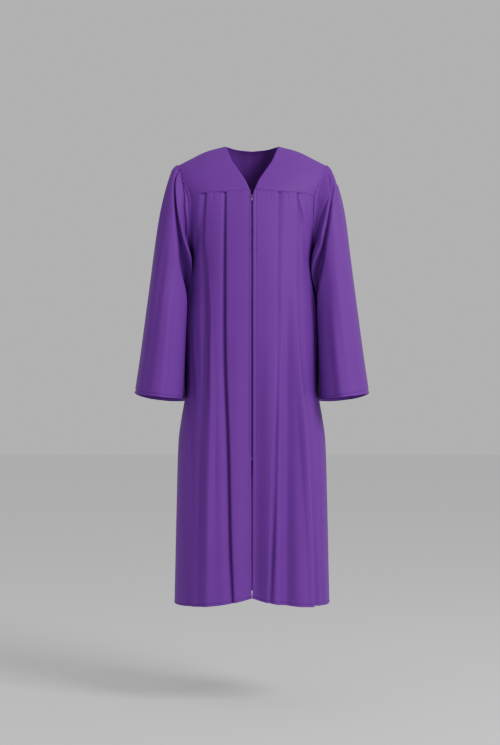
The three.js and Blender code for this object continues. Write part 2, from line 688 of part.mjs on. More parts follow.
for (const name of ["right", "left"]) {
  const grid = patch(
    (u) => pointOn(SHOULDER, u).add(new THREE.Vector3(0, -HALF_GAP, 0)),
    yokeSeamPoint,
    (v) => pointOn(NECK_FRONT, v).add(new THREE.Vector3(0, -HALF_GAP * (1 - v), 0)),
    (v) => armhole(v * FRONT_YOKE_TURN).add(new THREE.Vector3(0, -HALF_GAP * (1 - v), 0)),
    YOKE_COLS,
    YOKE_ROWS,
    (u) => u + 0.35 * u * (1 - u),
  );
  const isRight = name === "right";
  const shown = isRight ? mirrored(grid) : grid;
  const face = (v) => (isRight ? flipX(v) : v.clone());
  const set = (r, c) => {
    if (c === YOKE_COLS) return face(armholeNormal((r / YOKE_ROWS) * FRONT_YOKE_TURN));
    return r === 0 ? face(shoulderNormal) : null;
  };
  add("yoke_" + name, wall(shown, YOKE_CLOTH, { set }), cloth);
}

// The back yoke runs from armhole to armhole, round the back of the neck.
const NECK_SHARE = 0.36; // share of half the yoke's top that lies on the neckline
const backSeam = planCurve(false, BACK_YOKE.end, armhole(BACK_YOKE_TURN));
const BACK_BULGE = { forward: 13, up: 9 };
function backTop(u) {
  const out = Math.abs(2 * u - 1);
  const onNeck = out < NECK_SHARE;
  const way = onNeck ? 1 - out / NECK_SHARE : (out - NECK_SHARE) / (1 - NECK_SHARE);
  const p = pointOn(onNeck ? NECK_BACK : SHOULDER, way);
  return new THREE.Vector3(Math.sign(u - 0.5) * p.x, p.y + HALF_GAP * Math.min(1, out / NECK_SHARE), p.z);
}
function backBottom(u) {
  const out = Math.abs(2 * u - 1);
  const p = rowPoint(false, backRows[0], backSeam, out * backSeam.getLength(), 0, (share) => share);
  return new THREE.Vector3(Math.sign(u - 0.5) * p.x, p.y, p.z);
}
{
  const cols = 20;
  const rows = YOKE_ROWS;
  const side = (sign) => (v) => {
    const p = armhole(360 - v * (360 - BACK_YOKE_TURN));
    return new THREE.Vector3(sign * p.x, p.y + HALF_GAP * (1 - v), p.z);
  };
  const grid = patch(backTop, backBottom, side(-1), side(1), cols, rows);
  grid.forEach((row, j) =>
    row.forEach((p, i) => {
      const out = Math.abs((2 * i) / cols - 1);
      const rounding = 4 * (j / rows) * (1 - j / rows) * bell((out - 0.5) / 0.5);
      p.y += BACK_BULGE.forward * rounding;
      p.z += BACK_BULGE.up * rounding;
    }),
  );
  const set = (r, c) => {
    const turn = 360 - (r / rows) * (360 - BACK_YOKE_TURN);
    if (c === 0) return flipX(armholeNormal(turn));
    if (c === cols) return armholeNormal(turn);
    const out = Math.abs((2 * c) / cols - 1);
    if (r || out < NECK_SHARE) return null;
    return c < cols / 2 ? flipX(shoulderNormal) : shoulderNormal.clone();
  };
  add("yoke_back", wall(grid, YOKE_CLOTH, { set }), cloth);
}

// ---- Sleeves ----
const SLEEVE_SQUARE = 2.25; // how square the rings are: 2 is an ellipse
function sleeveFold(way, turn) {
  return SLEEVE_FOLDS.reduce((sum, fold) => {
    const { path, wide } = fold;
    if (way < path[0].way || way > path[path.length - 1].way) return sum;
    const off = ((turn - column(path, "way", "turn", way) + 540) % 360) - 180;
    return sum - column(path, "way", "deep", way) * bell(off / wide);
  }, 0);
}
function sleevePoint(ring, turn) {
  const a = radians(turn);
  const power = 2 / SLEEVE_SQUARE;
  const c = Math.sign(Math.cos(a)) * Math.abs(Math.cos(a)) ** power;
  const s = Math.sign(Math.sin(a)) * Math.abs(Math.sin(a)) ** power;
  const outer = new THREE.Vector3(ring.outX, 0, ring.outZ);
  const inner = new THREE.Vector3(ring.inX, 0, ring.inZ);
  const p = inner.lerp(outer, (1 + c) / 2);
  p.y = s > 0 ? s * ring.front : -s * ring.back;
  if (s < 0) p.z += s * CUFF_BACK_FALL * ring.way ** 3;
  const seamNormal = armholeNormal(turn);
  const leaving = new THREE.Vector3(1, 0, 0).addScaledVector(seamNormal, -seamNormal.x).normalize();
  p.lerp(armhole(turn).addScaledVector(leaving, Math.min(SEAM_RUN * ring.way, 14)), ring.seam);
  const outward = new THREE.Vector3(c * 0.9, -s, 0.25 * c).normalize();
  return p.addScaledVector(outward, sleeveFold(ring.way, turn));
}
const ringTurns = SEAM_TURNS.flatMap((turn, i) => [turn, (turn + (SEAM_TURNS[i + 1] ?? 360)) / 2]);
// Gathers stand out and dip in by turns. They die away below the yokes, and where the corners lie close.
function gather(turn, i) {
  const round = turn > 180 ? turn - 360 : turn;
  const before = turn - ringTurns[i - 1] || GATHER_PITCH;
  const after = ringTurns[i + 1] - turn || GATHER_PITCH;
  const room = clamp(Math.min(before, after) / GATHER_PITCH, 0, 1);
  return (i % 2 ? -1 : 1) * room * ease((GATHER_SPAN - Math.abs(round)) / 30);
}
for (const name of ["right", "left"]) {
  const seam = ringTurns.map((turn, i) => {
    const next = SEAM_TURNS[(i + 1) / 2] ?? 0;
    const p = i % 2 ? armhole(SEAM_TURNS[(i - 1) / 2]).lerp(armhole(next), 0.5) : armhole(turn);
    return p.add(new THREE.Vector3(SEAM_GAP, 0, 0));
  });
  const rings = SLEEVE.map((ring) =>
    ringTurns.map((turn, i) => {
      const p = sleevePoint(ring, turn);
      const a = radians(turn);
      const outward = new THREE.Vector3(0.5 * Math.cos(a) + 0.3, -Math.sin(a), 0.6 * Math.cos(a)).normalize();
      return p.addScaledVector(outward, gather(turn, i) * ring.gather);
    }),
  );
  const isRight = name === "right";
  const grid = isRight ? mirrored([seam, ...rings]) : [seam, ...rings];
  const seamNormal = (c) => armholeNormal(SEAM_TURNS[(c / 2) % SEAM_TURNS.length]);
  const set = (r, c) => {
    if (r) return null;
    const normal = c % 2 ? seamNormal(c - 1).lerp(seamNormal(c + 1), 0.5) : seamNormal(c);
    return isRight ? flipX(normal) : normal;
  };
  add("sleeve_" + name, wall(grid, CLOTH, { round: true, set }), cloth);
}

// ---- Zip ----
// A grid on the fronts' middle surface, from one drop to another down the centre, at places out from the
// centre line. It has corners where the fronts have, so that it lies evenly on them.
function zipGrid(places, from, to) {
  const lines = frontRows.map((row) => {
    const { point } = bodyEdge(true, row.edge);
    const curve = planCurve(true, row.edge, point);
    return places.map((x) => {
      const deep = waveDepth(FRONT_WAVES.right, Math.abs(x), row.edge);
      const p = rowPoint(true, row, curve, Math.abs(x), deep, (share) => share);
      return new THREE.Vector3(x, p.y, p.z);
    });
  });
  const cut = (drop) => {
    const i = frontRows.findIndex((row) => row.centre > drop) - 1;
    const t = (drop - frontRows[i].centre) / (frontRows[i + 1].centre - frontRows[i].centre);
    return lines[i].map((p, j) => p.clone().lerp(lines[i + 1][j], t));
  };
  const between = (_, i) => frontRows[i].centre > from + 1 && frontRows[i].centre < to - 1;
  return [cut(from), ...lines.filter(between), cut(to)];
}
// The same grid moved outwards along its own facing.
function movedOut(grid, distance) {
  return grid.map((row, r) =>
    row.map((p, c) => {
      const normal = facing(grid, r, c, false);
      return p.clone().addScaledVector(normal, (normal.y > 0 ? -1 : 1) * distance);
    }),
  );
}
const tapeOut = -CLOTH / 2 - SEAM_GAP - TAPE.thick / 2;
for (const [name, sign] of [["right", -1], ["left", 1]]) {
  const places = [0, 0.5, 1].map((t) => sign * lerp(TAPE.inner, TAPE.outer, t));
  add("zip_tape_" + name, wall(movedOut(zipGrid(places, ZIP_TOP, TAPE.end), tapeOut), TAPE.thick), tapeCloth);
}
const chainTop = SLIDER.drop - SLIDER.web.from + 2 * SEAM_GAP;
const chainEnd = ZIP_END - STOP.long / 2 - SEAM_GAP;
const chain = movedOut(zipGrid([-CHAIN.half, CHAIN.half], chainTop, chainEnd), CHAIN.front - CHAIN.thick / 2);
add("zip_chain", wall(chain, CHAIN.thick), coil);
const stopGrid = zipGrid([-STOP.half, STOP.half], ZIP_END - STOP.long / 2, ZIP_END + STOP.long / 2);
add("zip_stop", wall(movedOut(stopGrid, (STOP.back + STOP.front) / 2), STOP.front - STOP.back), nickel);

// The slider's frame, on the centre line and square to the fronts.
const sliderSpot = zipGrid([-1, 1], SLIDER.drop - 4, SLIDER.drop + 4);
const [above, below] = [sliderSpot[0][0], sliderSpot[sliderSpot.length - 1][0]];
const up = new THREE.Vector3(0, above.y - below.y, above.z - below.z).normalize();
const outwards = new THREE.Vector3(1, 0, 0).cross(up);
const middle = above.clone().lerp(below, 0.5).setX(0);
const sliderFrame = new THREE.Matrix4()
  .makeBasis(new THREE.Vector3(1, 0, 0), up, outwards)
  .setPosition(middle);
const box = (x, y, z) => {
  const size = [x, y, z].map(([a, b]) => b - a);
  const centre = [x, y, z].map(([a, b]) => (a + b) / 2);
  return new THREE.BoxGeometry(...size).translate(...centre);
};
function plate(half, long, [back, front], round) {
  const shape = new THREE.Shape();
  const [x, y] = [half, long / 2];
  shape.moveTo(-x + round, -y).lineTo(x - round, -y).quadraticCurveTo(x, -y, x, -y + round);
  shape.lineTo(x, y - round).quadraticCurveTo(x, y, x - round, y).lineTo(-x + round, y);
  shape.quadraticCurveTo(-x, y, -x, y - round).lineTo(-x, -y + round);
  shape.quadraticCurveTo(-x, -y, -x + round, -y);
  const depth = front - back;
  const extruded = new THREE.ExtrudeGeometry(shape, { depth, bevelEnabled: false, curveSegments: 5 });
  return extruded.translate(0, 0, back);
}
const library = await Module();
library.setup();
const { Manifold, Mesh } = library;
function solid(geometry) {
  const bare = geometry.clone();
  bare.deleteAttribute("normal");
  bare.deleteAttribute("uv");
  const merged = mergeVertices(bare, 1e-4);
  return new Manifold(
    new Mesh({
      numProp: 3,
      vertProperties: new Float32Array(merged.attributes.position.array),
      triVerts: new Uint32Array(merged.index.array),
    }),
  );
}
function join(geometries) {
  const { vertProperties, triVerts } = Manifold.union(geometries.map(solid)).getMesh();
  const geometry = new THREE.BufferGeometry();
  geometry.setAttribute("position", new THREE.BufferAttribute(vertProperties, 3));
  geometry.setIndex(new THREE.BufferAttribute(triVerts, 1));
  return geometry;
}

// ---- Slider: two plates joined by a web between the tapes, with side flanges and the bridge ----
const face = SLIDER.front[1];
const [flangeIn, flangeBack] = SLIDER.flange;
const webY = [SLIDER.web.from, SLIDER.web.to];
const bridgeTop = face + BRIDGE.high;
const foot = face - BRIDGE.sunk;
const acrossBridge = [-BRIDGE.half, BRIDGE.half];
const slider = join([
  plate(SLIDER.half, SLIDER.long, SLIDER.front, 1.2),
  plate(SLIDER.half, SLIDER.long, SLIDER.back, 1.2),
  box([-SLIDER.web.half, SLIDER.web.half], webY, [SLIDER.back[1] - 0.1, SLIDER.front[0] + 0.1]),
  ...[-1, 1].map((sign) => {
    const x = [sign * flangeIn, sign * (SLIDER.half - 0.02)].sort((a, b) => a - b);
    return box(x, [-SLIDER.long / 2 + 1.3, SLIDER.long / 2 - 1.3], [flangeBack, SLIDER.front[0] + 0.1]);
  }),
  box(acrossBridge, [-BRIDGE.span / 2, -BRIDGE.span / 2 + BRIDGE.leg], [foot, bridgeTop]),
  box(acrossBridge, [BRIDGE.span / 2 - BRIDGE.leg, BRIDGE.span / 2], [foot, bridgeTop]),
  box(acrossBridge, [-BRIDGE.span / 2, BRIDGE.span / 2], [bridgeTop - BRIDGE.bar, bridgeTop]),
]);
add("zip_slider", slider.applyMatrix4(sliderFrame), nickel);

// ---- Pull: a tab slotted round the bridge, hung on a bar that runs through it ----
const tabShape = new THREE.Shape();
tabShape.moveTo(-PULL.armOut, PULL.bar).lineTo(-PULL.armOut, -PULL.slot);
tabShape.quadraticCurveTo(-PULL.tipHalf, -PULL.slot - 3, -PULL.tipHalf, -PULL.long + 2);
tabShape.quadraticCurveTo(-PULL.tipHalf, -PULL.long, 0, -PULL.long);
tabShape.quadraticCurveTo(PULL.tipHalf, -PULL.long, PULL.tipHalf, -PULL.long + 2);
tabShape.quadraticCurveTo(PULL.tipHalf, -PULL.slot - 3, PULL.armOut, -PULL.slot);
tabShape.lineTo(PULL.armOut, PULL.bar);
tabShape.lineTo(PULL.armIn, PULL.bar).lineTo(PULL.armIn, -PULL.slot);
tabShape.lineTo(-PULL.armIn, -PULL.slot).lineTo(-PULL.armIn, PULL.bar);
const tabCut = { depth: PULL.thick, bevelEnabled: false, curveSegments: 8 };
const tab = new THREE.ExtrudeGeometry(tabShape, tabCut);
tab.translate(0, 0, -PULL.thick / 2);
const bar = new THREE.CylinderGeometry(PULL.bar, PULL.bar, 2 * PULL.armOut, 16).rotateZ(Math.PI / 2);
const hinge = new THREE.Matrix4().makeTranslation(0, HINGE.up, face + HINGE.out);
add("zip_pull", join([tab, bar]).applyMatrix4(hinge).applyMatrix4(sliderFrame), nickel);

export default robe;
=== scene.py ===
import math
import bmesh
import bpy
import numpy as np
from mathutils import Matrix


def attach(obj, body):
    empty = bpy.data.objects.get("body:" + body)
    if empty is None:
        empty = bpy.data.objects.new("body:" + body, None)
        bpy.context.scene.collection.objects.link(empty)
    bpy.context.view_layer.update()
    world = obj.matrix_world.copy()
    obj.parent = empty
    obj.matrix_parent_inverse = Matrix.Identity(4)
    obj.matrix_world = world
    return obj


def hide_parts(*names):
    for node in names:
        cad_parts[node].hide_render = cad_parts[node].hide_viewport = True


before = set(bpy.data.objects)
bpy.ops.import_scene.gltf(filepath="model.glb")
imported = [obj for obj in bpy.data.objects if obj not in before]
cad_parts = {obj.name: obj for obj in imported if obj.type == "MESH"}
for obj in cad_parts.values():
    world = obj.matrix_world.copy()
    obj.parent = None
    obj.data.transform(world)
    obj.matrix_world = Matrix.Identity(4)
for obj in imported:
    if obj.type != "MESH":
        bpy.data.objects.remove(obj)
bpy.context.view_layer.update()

# ---- Gown cloth ----
# The whole gown is cut from one plain-woven polyester cloth with a slight satin face, dyed purple in the
# piece. It shows a fine weave close up and a little unevenness of shade along the threads.


class Wire:
    """A value in a shader. Arithmetic on wires and numbers adds the Math nodes that work it out."""

    def __init__(self, shader, socket):
        self.shader = shader
        self.socket = socket

    def math(self, operation, *values, clamp=False):
        settings = {"operation": operation, "use_clamp": clamp}
        return self.shader.node("ShaderNodeMath", settings, dict(enumerate(values)))

    def __add__(self, other):
        return self.math("ADD", self, other)

    def __mul__(self, other):
        return self.math("MULTIPLY", self, other)

    __radd__ = __add__
    __rmul__ = __mul__

    def sine(self):
        return self.math("SINE", self)


class Shader:
    """A material that is put together node by node."""

    def __init__(self, name):
        self.material = bpy.data.materials.new(name)
        self.material.use_nodes = True
        self.tree = self.material.node_tree
        self.tree.nodes.clear()

    def node(self, kind, settings=None, inputs=None, output=0):
        node = self.tree.nodes.new(kind)
        for key, value in (settings or {}).items():
            setattr(node, key, value)
        for key, value in (inputs or {}).items():
            if isinstance(value, Wire):
                self.tree.links.new(value.socket, node.inputs[key])
            else:
                node.inputs[key].default_value = value
        return Wire(self, node.outputs[output]) if len(node.outputs) else None

    def noise(self, place, scale, detail=3.0, roughness=0.5):
        inputs = {"Vector": place, "Scale": scale, "Detail": detail, "Roughness": roughness}
        return self.node("ShaderNodeTexNoise", None, inputs)

    def mix(self, factor, a, b):
        inputs = {0: factor, 6: a, 7: b}
        return self.node("ShaderNodeMix", {"data_type": "RGBA"}, inputs, 2)

    def surface(self, inputs):
        shader = self.node("ShaderNodeBsdfPrincipled", None, inputs)
        self.node("ShaderNodeOutputMaterial", None, {"Surface": shader})
        return self.material


CLOTH_DEEP = (0.125, 0.018, 0.252, 1)
CLOTH_LIGHT = (0.16, 0.027, 0.305, 1)
THREADS = 1300.0  # pairs of threads across a metre


def gown_cloth():
    shader = Shader("gown cloth")
    place = shader.node("ShaderNodeTexCoord", None, None, "Object")
    drawn_out = shader.node("ShaderNodeMapping", None, {"Vector": place, "Scale": (1, 1, 0.12)})
    slub = shader.noise(drawn_out, 420.0, 4.0)
    shade = shader.noise(place, 9.0, 2.0)
    tone = slub.math("ADD", slub * 0.5, shade * 0.5, clamp=True)
    across = shader.node("ShaderNodeSeparateXYZ", None, {0: place}, "X")
    down = shader.node("ShaderNodeSeparateXYZ", None, {0: place}, "Z")
    turn = 2 * math.pi * THREADS
    height = (down * turn).sine() * (across * turn).sine() * 0.5 + slub * 0.6
    weave = {"Strength": 0.12, "Distance": 0.0004, "Height": height}
    return shader.surface(
        {
            "Base Color": shader.mix(tone, CLOTH_DEEP, CLOTH_LIGHT),
            "Roughness": 0.46 + shade * 0.1,
            "Specular IOR Level": 0.06,
            "Normal": shader.node("ShaderNodeBump", None, weave),
        }
    )


cloth = gown_cloth()

# ---- Fronts ----
# Two fronts of the gown cloth hang from the yoke. Each is pleated twice into the yoke seam, falls to a hem
# turned up 38 mm, and is folded back at the centre over the zip. The sizes are millimetres on the gown as
# it is worn.
MM = 0.001


def along(table, at, period=0.0):
    """The row of a table's columns at a place in its first column, on a smooth curve through the rows."""
    table = np.array(table, float)
    if period:
        before, after = table[-2:].copy(), table[:3].copy()
        before[:, 0] -= period
        after[:, 0] += period
        table = np.vstack([before, table, after])
        at = np.mod(at, period)
    x, y = table[:, 0], table[:, 1:]
    at = np.clip(np.asarray(at, float), x[0], x[-1])
    i = np.clip(np.searchsorted(x, at, "right") - 1, 0, len(x) - 2)
    low, high = np.maximum(np.arange(len(x)) - 1, 0), np.minimum(np.arange(len(x)) + 1, len(x) - 1)
    slope = (y[high] - y[low]) / (x[high] - x[low])[:, None]
    width = (x[i + 1] - x[i])[..., None]
    t = (at - x[i])[..., None] / width
    t2, t3 = t * t, t * t * t
    return (
        y[i] * (2 * t3 - 3 * t2 + 1)
        + slope[i] * width * (t3 - 2 * t2 + t)
        + y[i + 1] * (3 * t2 - 2 * t3)
        + slope[i + 1] * width * (t3 - t2)
    )


def ease(t):
    t = np.clip(t, 0, 1)
    return t * t * (3 - 2 * t)


def bell(t):
    return np.where(np.abs(t) < 1, (1 + np.cos(math.pi * np.asarray(t))) / 2, 0)


def unit(v):
    return v / np.maximum(np.linalg.norm(v, axis=-1, keepdims=True), 1e-9)


UNDERARM = 276  # drop of the foot of the armhole
ARMHOLE = [  # turn in degrees from the shoulder tip by way of the front: x, y, z
    (0, 188, 4, -48), (20, 184.5, -20, -58), (42, 176, -43, -84), (60, 165, -56, -110),
    (76, 155.5, -62, -134), (100, 154, -63, -180), (135, 155.5, -48, -232), (160, 156, -24, -264),
    (180, 156, 2, -UNDERARM),
    (205, 158, 32, -262), (235, 162, 60, -215), (262, 166, 73, -170), (284, 168, 73, -135),
    (315, 178, 50, -88), (340, 185.5, 27, -60),
]  # fmt: skip
FRONT_YOKE_TURN, BACK_YOKE_TURN = 76, 284


def armhole(turn):
    """Points of the armhole seam on the +X side."""
    return along(ARMHOLE, turn, 360)


def armhole_turn(drop, front):
    """The turn at which the armhole reaches a drop, found by halving the span that it lies in."""
    low, high = (0, 180) if front else (360, 180)
    for _ in range(40):
        middle = (low + high) / 2
        low, high = (middle, high) if -armhole(middle)[2] < drop else (low, middle)
    return (low + high) / 2


FRONT_PLAN = [  # drop: y of the centre, share of the width that is flat, the corner that the curve rounds
    (118, -95.5, 0.42, 0.75, -88), (160, -108, 0.46, 0.83, -90), (215, -119, 0.5, 0.91, -87),
    (250, -124, 0.53, 0.96, -84), (263, -125.5, 0.54, 0.98, -88), (276, -127, 0.55, 0.99, -98),
    (340, -131, 0.57, 1, -99), (500, -134, 0.58, 1, -98), (800, -139, 0.57, 1, -100),
    (1176, -142, 0.55, 1, -106),
]  # fmt: skip
SIDE_SEAM = [  # drop: x, y
    (276, 156, 2), (300, 153, 5), (344, 156, 8), (396, 163, 10), (430, 167, 11), (487, 170.5, 12),
    (643, 173, 13), (700, 182, 13), (757, 189.5, 12), (900, 194, 11), (1176, 200, 9),
]  # fmt: skip
# share of the way out along the yoke seam: share of its fall
YOKE_FALL = [(0, 0), (0.19, 0.24), (0.37, 0.37), (0.65, 0.46), (0.86, 0.62), (1, 1)]
FRONT_EDGE = [  # drop: how far the folded edge lies from the centre
    (118.5, 6.2), (125, 4.4), (131, 3.2), (141, 3.2), (156, 2.3), (800, 2.3), (880, 1.6), (1130, 1.6),
    (1143, 0.8), (1176, 0.8),
]  # fmt: skip


class PlanCurve:
    """One half of the gown at a drop, seen from above: a curve from the centre out to the side or armhole."""

    def __init__(self, plan, drop, edge):
        centre, flat, corner_x, corner_y = along(plan, drop)
        side = edge[0]
        self.ends = np.array([(0, centre), (flat * side, centre), (corner_x * side, corner_y), edge[:2]])
        self.t = np.linspace(0, 1, 241)
        steps = np.linalg.norm(np.diff(self.point(self.t), axis=0), axis=1)
        self.lengths = np.concatenate([[0], np.cumsum(steps)])
        self.length = self.lengths[-1]

    def point(self, t):
        t = np.asarray(t)[:, None]
        a, b, c, d = self.ends
        return a * (1 - t) ** 3 + 3 * b * t * (1 - t) ** 2 + 3 * c * t * t * (1 - t) + d * t**3

    def at_length(self, at):
        t = np.interp(at, self.lengths, self.t)
        a, b, c, d = self.ends
        s = t[:, None]
        way = 3 * (b - a) * (1 - s) ** 2 + 6 * (c - b) * s * (1 - s) + 3 * (d - c) * s * s
        return self.point(t), unit(way)

    def length_out(self, x):
        return float(np.interp(x, self.point(self.t)[:, 0], self.lengths))


def through(keys, counts):
    """A smooth line through key points, with so many steps in each of its spans."""
    keys = np.array(keys, float)
    gaps = np.maximum(np.linalg.norm(np.diff(keys, axis=0), axis=1), 1e-3)
    t = np.concatenate([[0], np.cumsum(gaps)])
    low, high = np.maximum(np.arange(len(t)) - 1, 0), np.minimum(np.arange(len(t)) + 1, len(t) - 1)
    slope = (keys[high] - keys[low]) / (t[high] - t[low])[:, None]
    spans = []
    for i, count in enumerate(counts):
        s = np.arange(count)[:, None] / count
        w = gaps[i]
        spans.append(
            keys[i] * (2 * s**3 - 3 * s**2 + 1)
            + slope[i] * w * (s**3 - 2 * s**2 + s)
            + keys[i + 1] * (3 * s**2 - 2 * s**3)
            + slope[i + 1] * w * (s**3 - s**2)
        )
    return np.vstack([*spans, keys[-1:]])


def pleat_line(table, drop, curve):
    """A knife pleat, as places along the cloth and depths, let out into a soft ridge as it opens."""
    edge, under, step, opened, crest, dip = along(table, drop)
    turn = 0.4 * step
    shut = [
        (-14, 0), (-turn, 0), (0, -step / 2), (-turn, -step), (-under, -step),
        (-under - turn, -1.5 * step), (-under, -2 * step), (3, -1.7 * step), (13, -0.6 * step),
    ]  # fmt: skip
    soft = [
        (-17, 0), (-10, crest * 0.55), (-3, crest), (4, crest * 0.6), (9, 0), (14, -dip * 0.7), (19, -dip),
        (26, -dip * 0.75), (34, -dip * 0.2),
    ]  # fmt: skip
    middle = curve.length_out(edge)
    return [(middle + a + (c - a) * opened, b + (d - b) * opened) for (a, b), (c, d) in zip(shut, soft)]


def fold_depth(folds, at, drop, curve):
    """Depth of the soft folds at places along a row. A fold's path gives by drop how far out from the
    centre it lies, its half width towards the centre and away from it, and its depth."""
    depth = np.zeros_like(at)
    for path in folds:
        if path[0][0] <= drop <= path[-1][0]:
            out, near, far, deep = along(path, drop)
            off = at - curve.length_out(out)
            depth += deep * bell(off / np.where(off < 0, near, far))
    return depth


WAVE_DROPS = (150, 380, 700, 1100)  # where the waves begin, and the drops of their three heights


def wave_depth(waves, at, drop):
    """Depth of the broad waves at places along a row. They grow from height to height down the gown."""
    shares = [ease((drop - begin) / (end - begin)) for begin, end in zip(WAVE_DROPS, WAVE_DROPS[1:])]
    depth = np.zeros_like(at)
    for place, wide, *heights in waves:
        size = 0
        for height, share in zip(heights, shares):
            size += (height - size) * share
        depth += size * bell((at - place) / wide)
    return depth


# Places along a row, as shares of the way to the first pleat, to the second and to the side seam, and the
# number of steps to each of them
TO_FIRST = (0.14, 0.35, 0.56, 0.78), [4, 7, 7, 7, 7]
TO_SECOND = (0.5,), [6, 6]
TO_SIDE = (0.2, 0.4, 0.58, 0.75, 0.89, 1), [7, 7, 7, 6, 6, 5]
PLEAT_STEPS = [5, 4, 4, 6, 3, 3, 7, 6]


def row_line(start, pleats, drop, curve):
    """Places along a row and depths there, from the centre through the pleats to the side seam."""
    keys, steps = [(start, 0)], []
    for (shares, counts), table in zip((TO_FIRST, TO_SECOND), pleats):
        pleat = pleat_line(table, drop, curve)
        begin, deep = keys[-1]
        keys += [(begin + (pleat[0][0] - begin) * share, deep * 0.3) for share in shares] + pleat
        steps += counts + PLEAT_STEPS
    shares, counts = TO_SIDE
    begin = keys[-1][0]
    keys += [(begin + (curve.length - begin) * share, 0) for share in shares]
    line = through(keys, steps + counts)
    return line[:, 0], line[:, 1]


def lift(plan, drop, level):
    """How far in y the middle of a plan at drops is from where it is at one level."""
    middle = [row[:2] for row in plan]
    return along(middle, drop)[:, 0] - along(middle, level)[0]


HEM, HEM_FROM = 1176, 1040  # drop of the hem at the sides, and of the first row that bends to it
HEM_STITCH, HEM_TURN = 6, 38  # up from the hem
STITCH_GROOVE, TURN_RIDGE = (2, 3), (0.5, 6)  # depth or height, and half width
SIDE_FADE = 26  # how far from the side seam the folds begin to die out


def body_half(plan, front, rows, start, pleats, waves, folds, fall):
    """Points of one half of a front or back on the +X side, row by row down the gown."""
    grid = []
    for centre, edge in rows:
        if edge < UNDERARM:
            point = armhole(armhole_turn(edge, front))
        else:
            point = np.array([*along(SIDE_SEAM, edge), -edge])
        curve = PlanCurve(plan, edge, point)
        at, deep = row_line(start(centre), pleats, edge, curve)
        fade = ease((curve.length - at) / SIDE_FADE)
        deep = deep + (wave_depth(waves, at, edge) + fold_depth(folds, at, edge, curve)) * fade
        up = HEM - edge
        deep -= STITCH_GROOVE[0] * bell((up - HEM_STITCH) / STITCH_GROOVE[1])
        deep += TURN_RIDGE[0] * bell((up - HEM_TURN) / TURN_RIDGE[1])
        on, way = curve.at_length(np.clip(at, 0, curve.length))
        out = np.stack([way[:, 1], -way[:, 0]], axis=1) * (1 if front else -1)
        share = np.clip(on[:, 0] / point[0], 0, 1)
        drop = centre + (edge - centre) * fall(share, edge)
        x = on[:, 0] + out[:, 0] * deep
        y = on[:, 1] + out[:, 1] * deep + lift(plan, drop, edge) * (1 - share**2)
        grid.append(np.stack([x, y, -drop], axis=1))
    return settle(np.array(grid), rows)


def body_rows(yoke_seam, hem_centre, places):
    """Drops of each row at the centre and at the outer edge."""
    top_centre, top_edge = yoke_seam
    rows = []
    for edge in places:
        if edge <= HEM_FROM:
            t = ease((edge - top_edge) / (UNDERARM - top_edge))
            rows.append((edge + (top_centre - top_edge) * (1 - t), edge))
        else:
            t = (edge - HEM_FROM) / (HEM - HEM_FROM)
            rows.append((HEM_FROM + (hem_centre - HEM_FROM) * t, edge))
    return rows


SETTLE_DROPS = (175, 220, 320, 380)  # between which drops it sets in and dies out
SEWN_SHARE = 0.22  # share of a row, next to the side seam, over which it dies out
SETTLE_ROUNDS = 90


def settle(grid, rows):
    """Evens the cloth out down the gown where it passes the underarm, but not at its sewn edge."""
    drop = np.array([edge for _, edge in rows])
    a, b, c, d = SETTLE_DROPS
    down = ease((drop - a) / (b - a)) * ease((d - drop) / (d - c))
    across = ease(np.linspace(1, 0, grid.shape[1]) / SEWN_SHARE)
    share = down[1:-1, None, None] * across[None, :, None] * 0.5
    above = ((drop[2:] - drop[1:-1]) / (drop[2:] - drop[:-2]))[:, None, None]
    for _ in range(SETTLE_ROUNDS):
        middle = grid[:-2] * above + grid[2:] * (1 - above)
        grid[1:-1, :, :2] += ((middle - grid[1:-1]) * share)[..., :2]
    return grid


def surface_normals(grid, closed=False):
    """Directions out of a grid of points, by way of its neighbours across and down."""
    across = np.roll(grid, -1, 1) - np.roll(grid, 1, 1)
    if not closed:
        across[:, 0], across[:, -1] = grid[:, 1] - grid[:, 0], grid[:, -1] - grid[:, -2]
    down = np.gradient(grid, axis=0)
    return unit(np.cross(across, down))


def make_cloth(name, grid, thickness, material, closed=False):
    """A thin shell about a grid of middle points, with its faces outwards."""
    rows, cols = grid.shape[:2]
    normal = surface_normals(grid, closed)
    outer, inner = grid + normal * thickness / 2, grid - normal * thickness / 2
    points = np.concatenate([outer.reshape(-1, 3), inner.reshape(-1, 3)]) * MM
    index = np.arange(rows * cols).reshape(rows, cols)
    if closed:
        index = np.hstack([index, index[:, :1]])
    a, b, c, d = index[:-1, :-1], index[1:, :-1], index[1:, 1:], index[:-1, 1:]
    front = np.stack([a, b, c, d], -1).reshape(-1, 4)
    size = rows * cols
    faces = [front, front[:, ::-1] + size]
    top, bottom = index[0], index[-1]
    faces.append(np.stack([top[:-1], top[1:], top[1:] + size, top[:-1] + size], -1))
    faces.append(np.stack([bottom[1:], bottom[:-1], bottom[:-1] + size, bottom[1:] + size], -1))
    if not closed:
        left, right = index[:, 0], index[:, -1]
        faces.append(np.stack([left[1:], left[:-1], left[:-1] + size, left[1:] + size], -1))
        faces.append(np.stack([right[:-1], right[1:], right[1:] + size, right[:-1] + size], -1))
    mesh = bpy.data.meshes.new(name)
    mesh.from_pydata(points.tolist(), [], np.concatenate(faces).tolist())
    work = bmesh.new()
    work.from_mesh(mesh)
    bmesh.ops.recalc_face_normals(work, faces=work.faces)
    work.to_mesh(mesh)
    work.free()
    mesh.polygons.foreach_set("use_smooth", [True] * len(mesh.polygons))
    mesh.materials.append(material)
    piece = bpy.data.objects.new(name, mesh)
    bpy.context.scene.collection.objects.link(piece)
    return piece


CORE = np.array([0, 0, -400.0])  # in the middle of the gown
TURNED = {"deep": 2.4, "round": 0.6}  # how far a sewn edge goes in, and where it has turned the corner


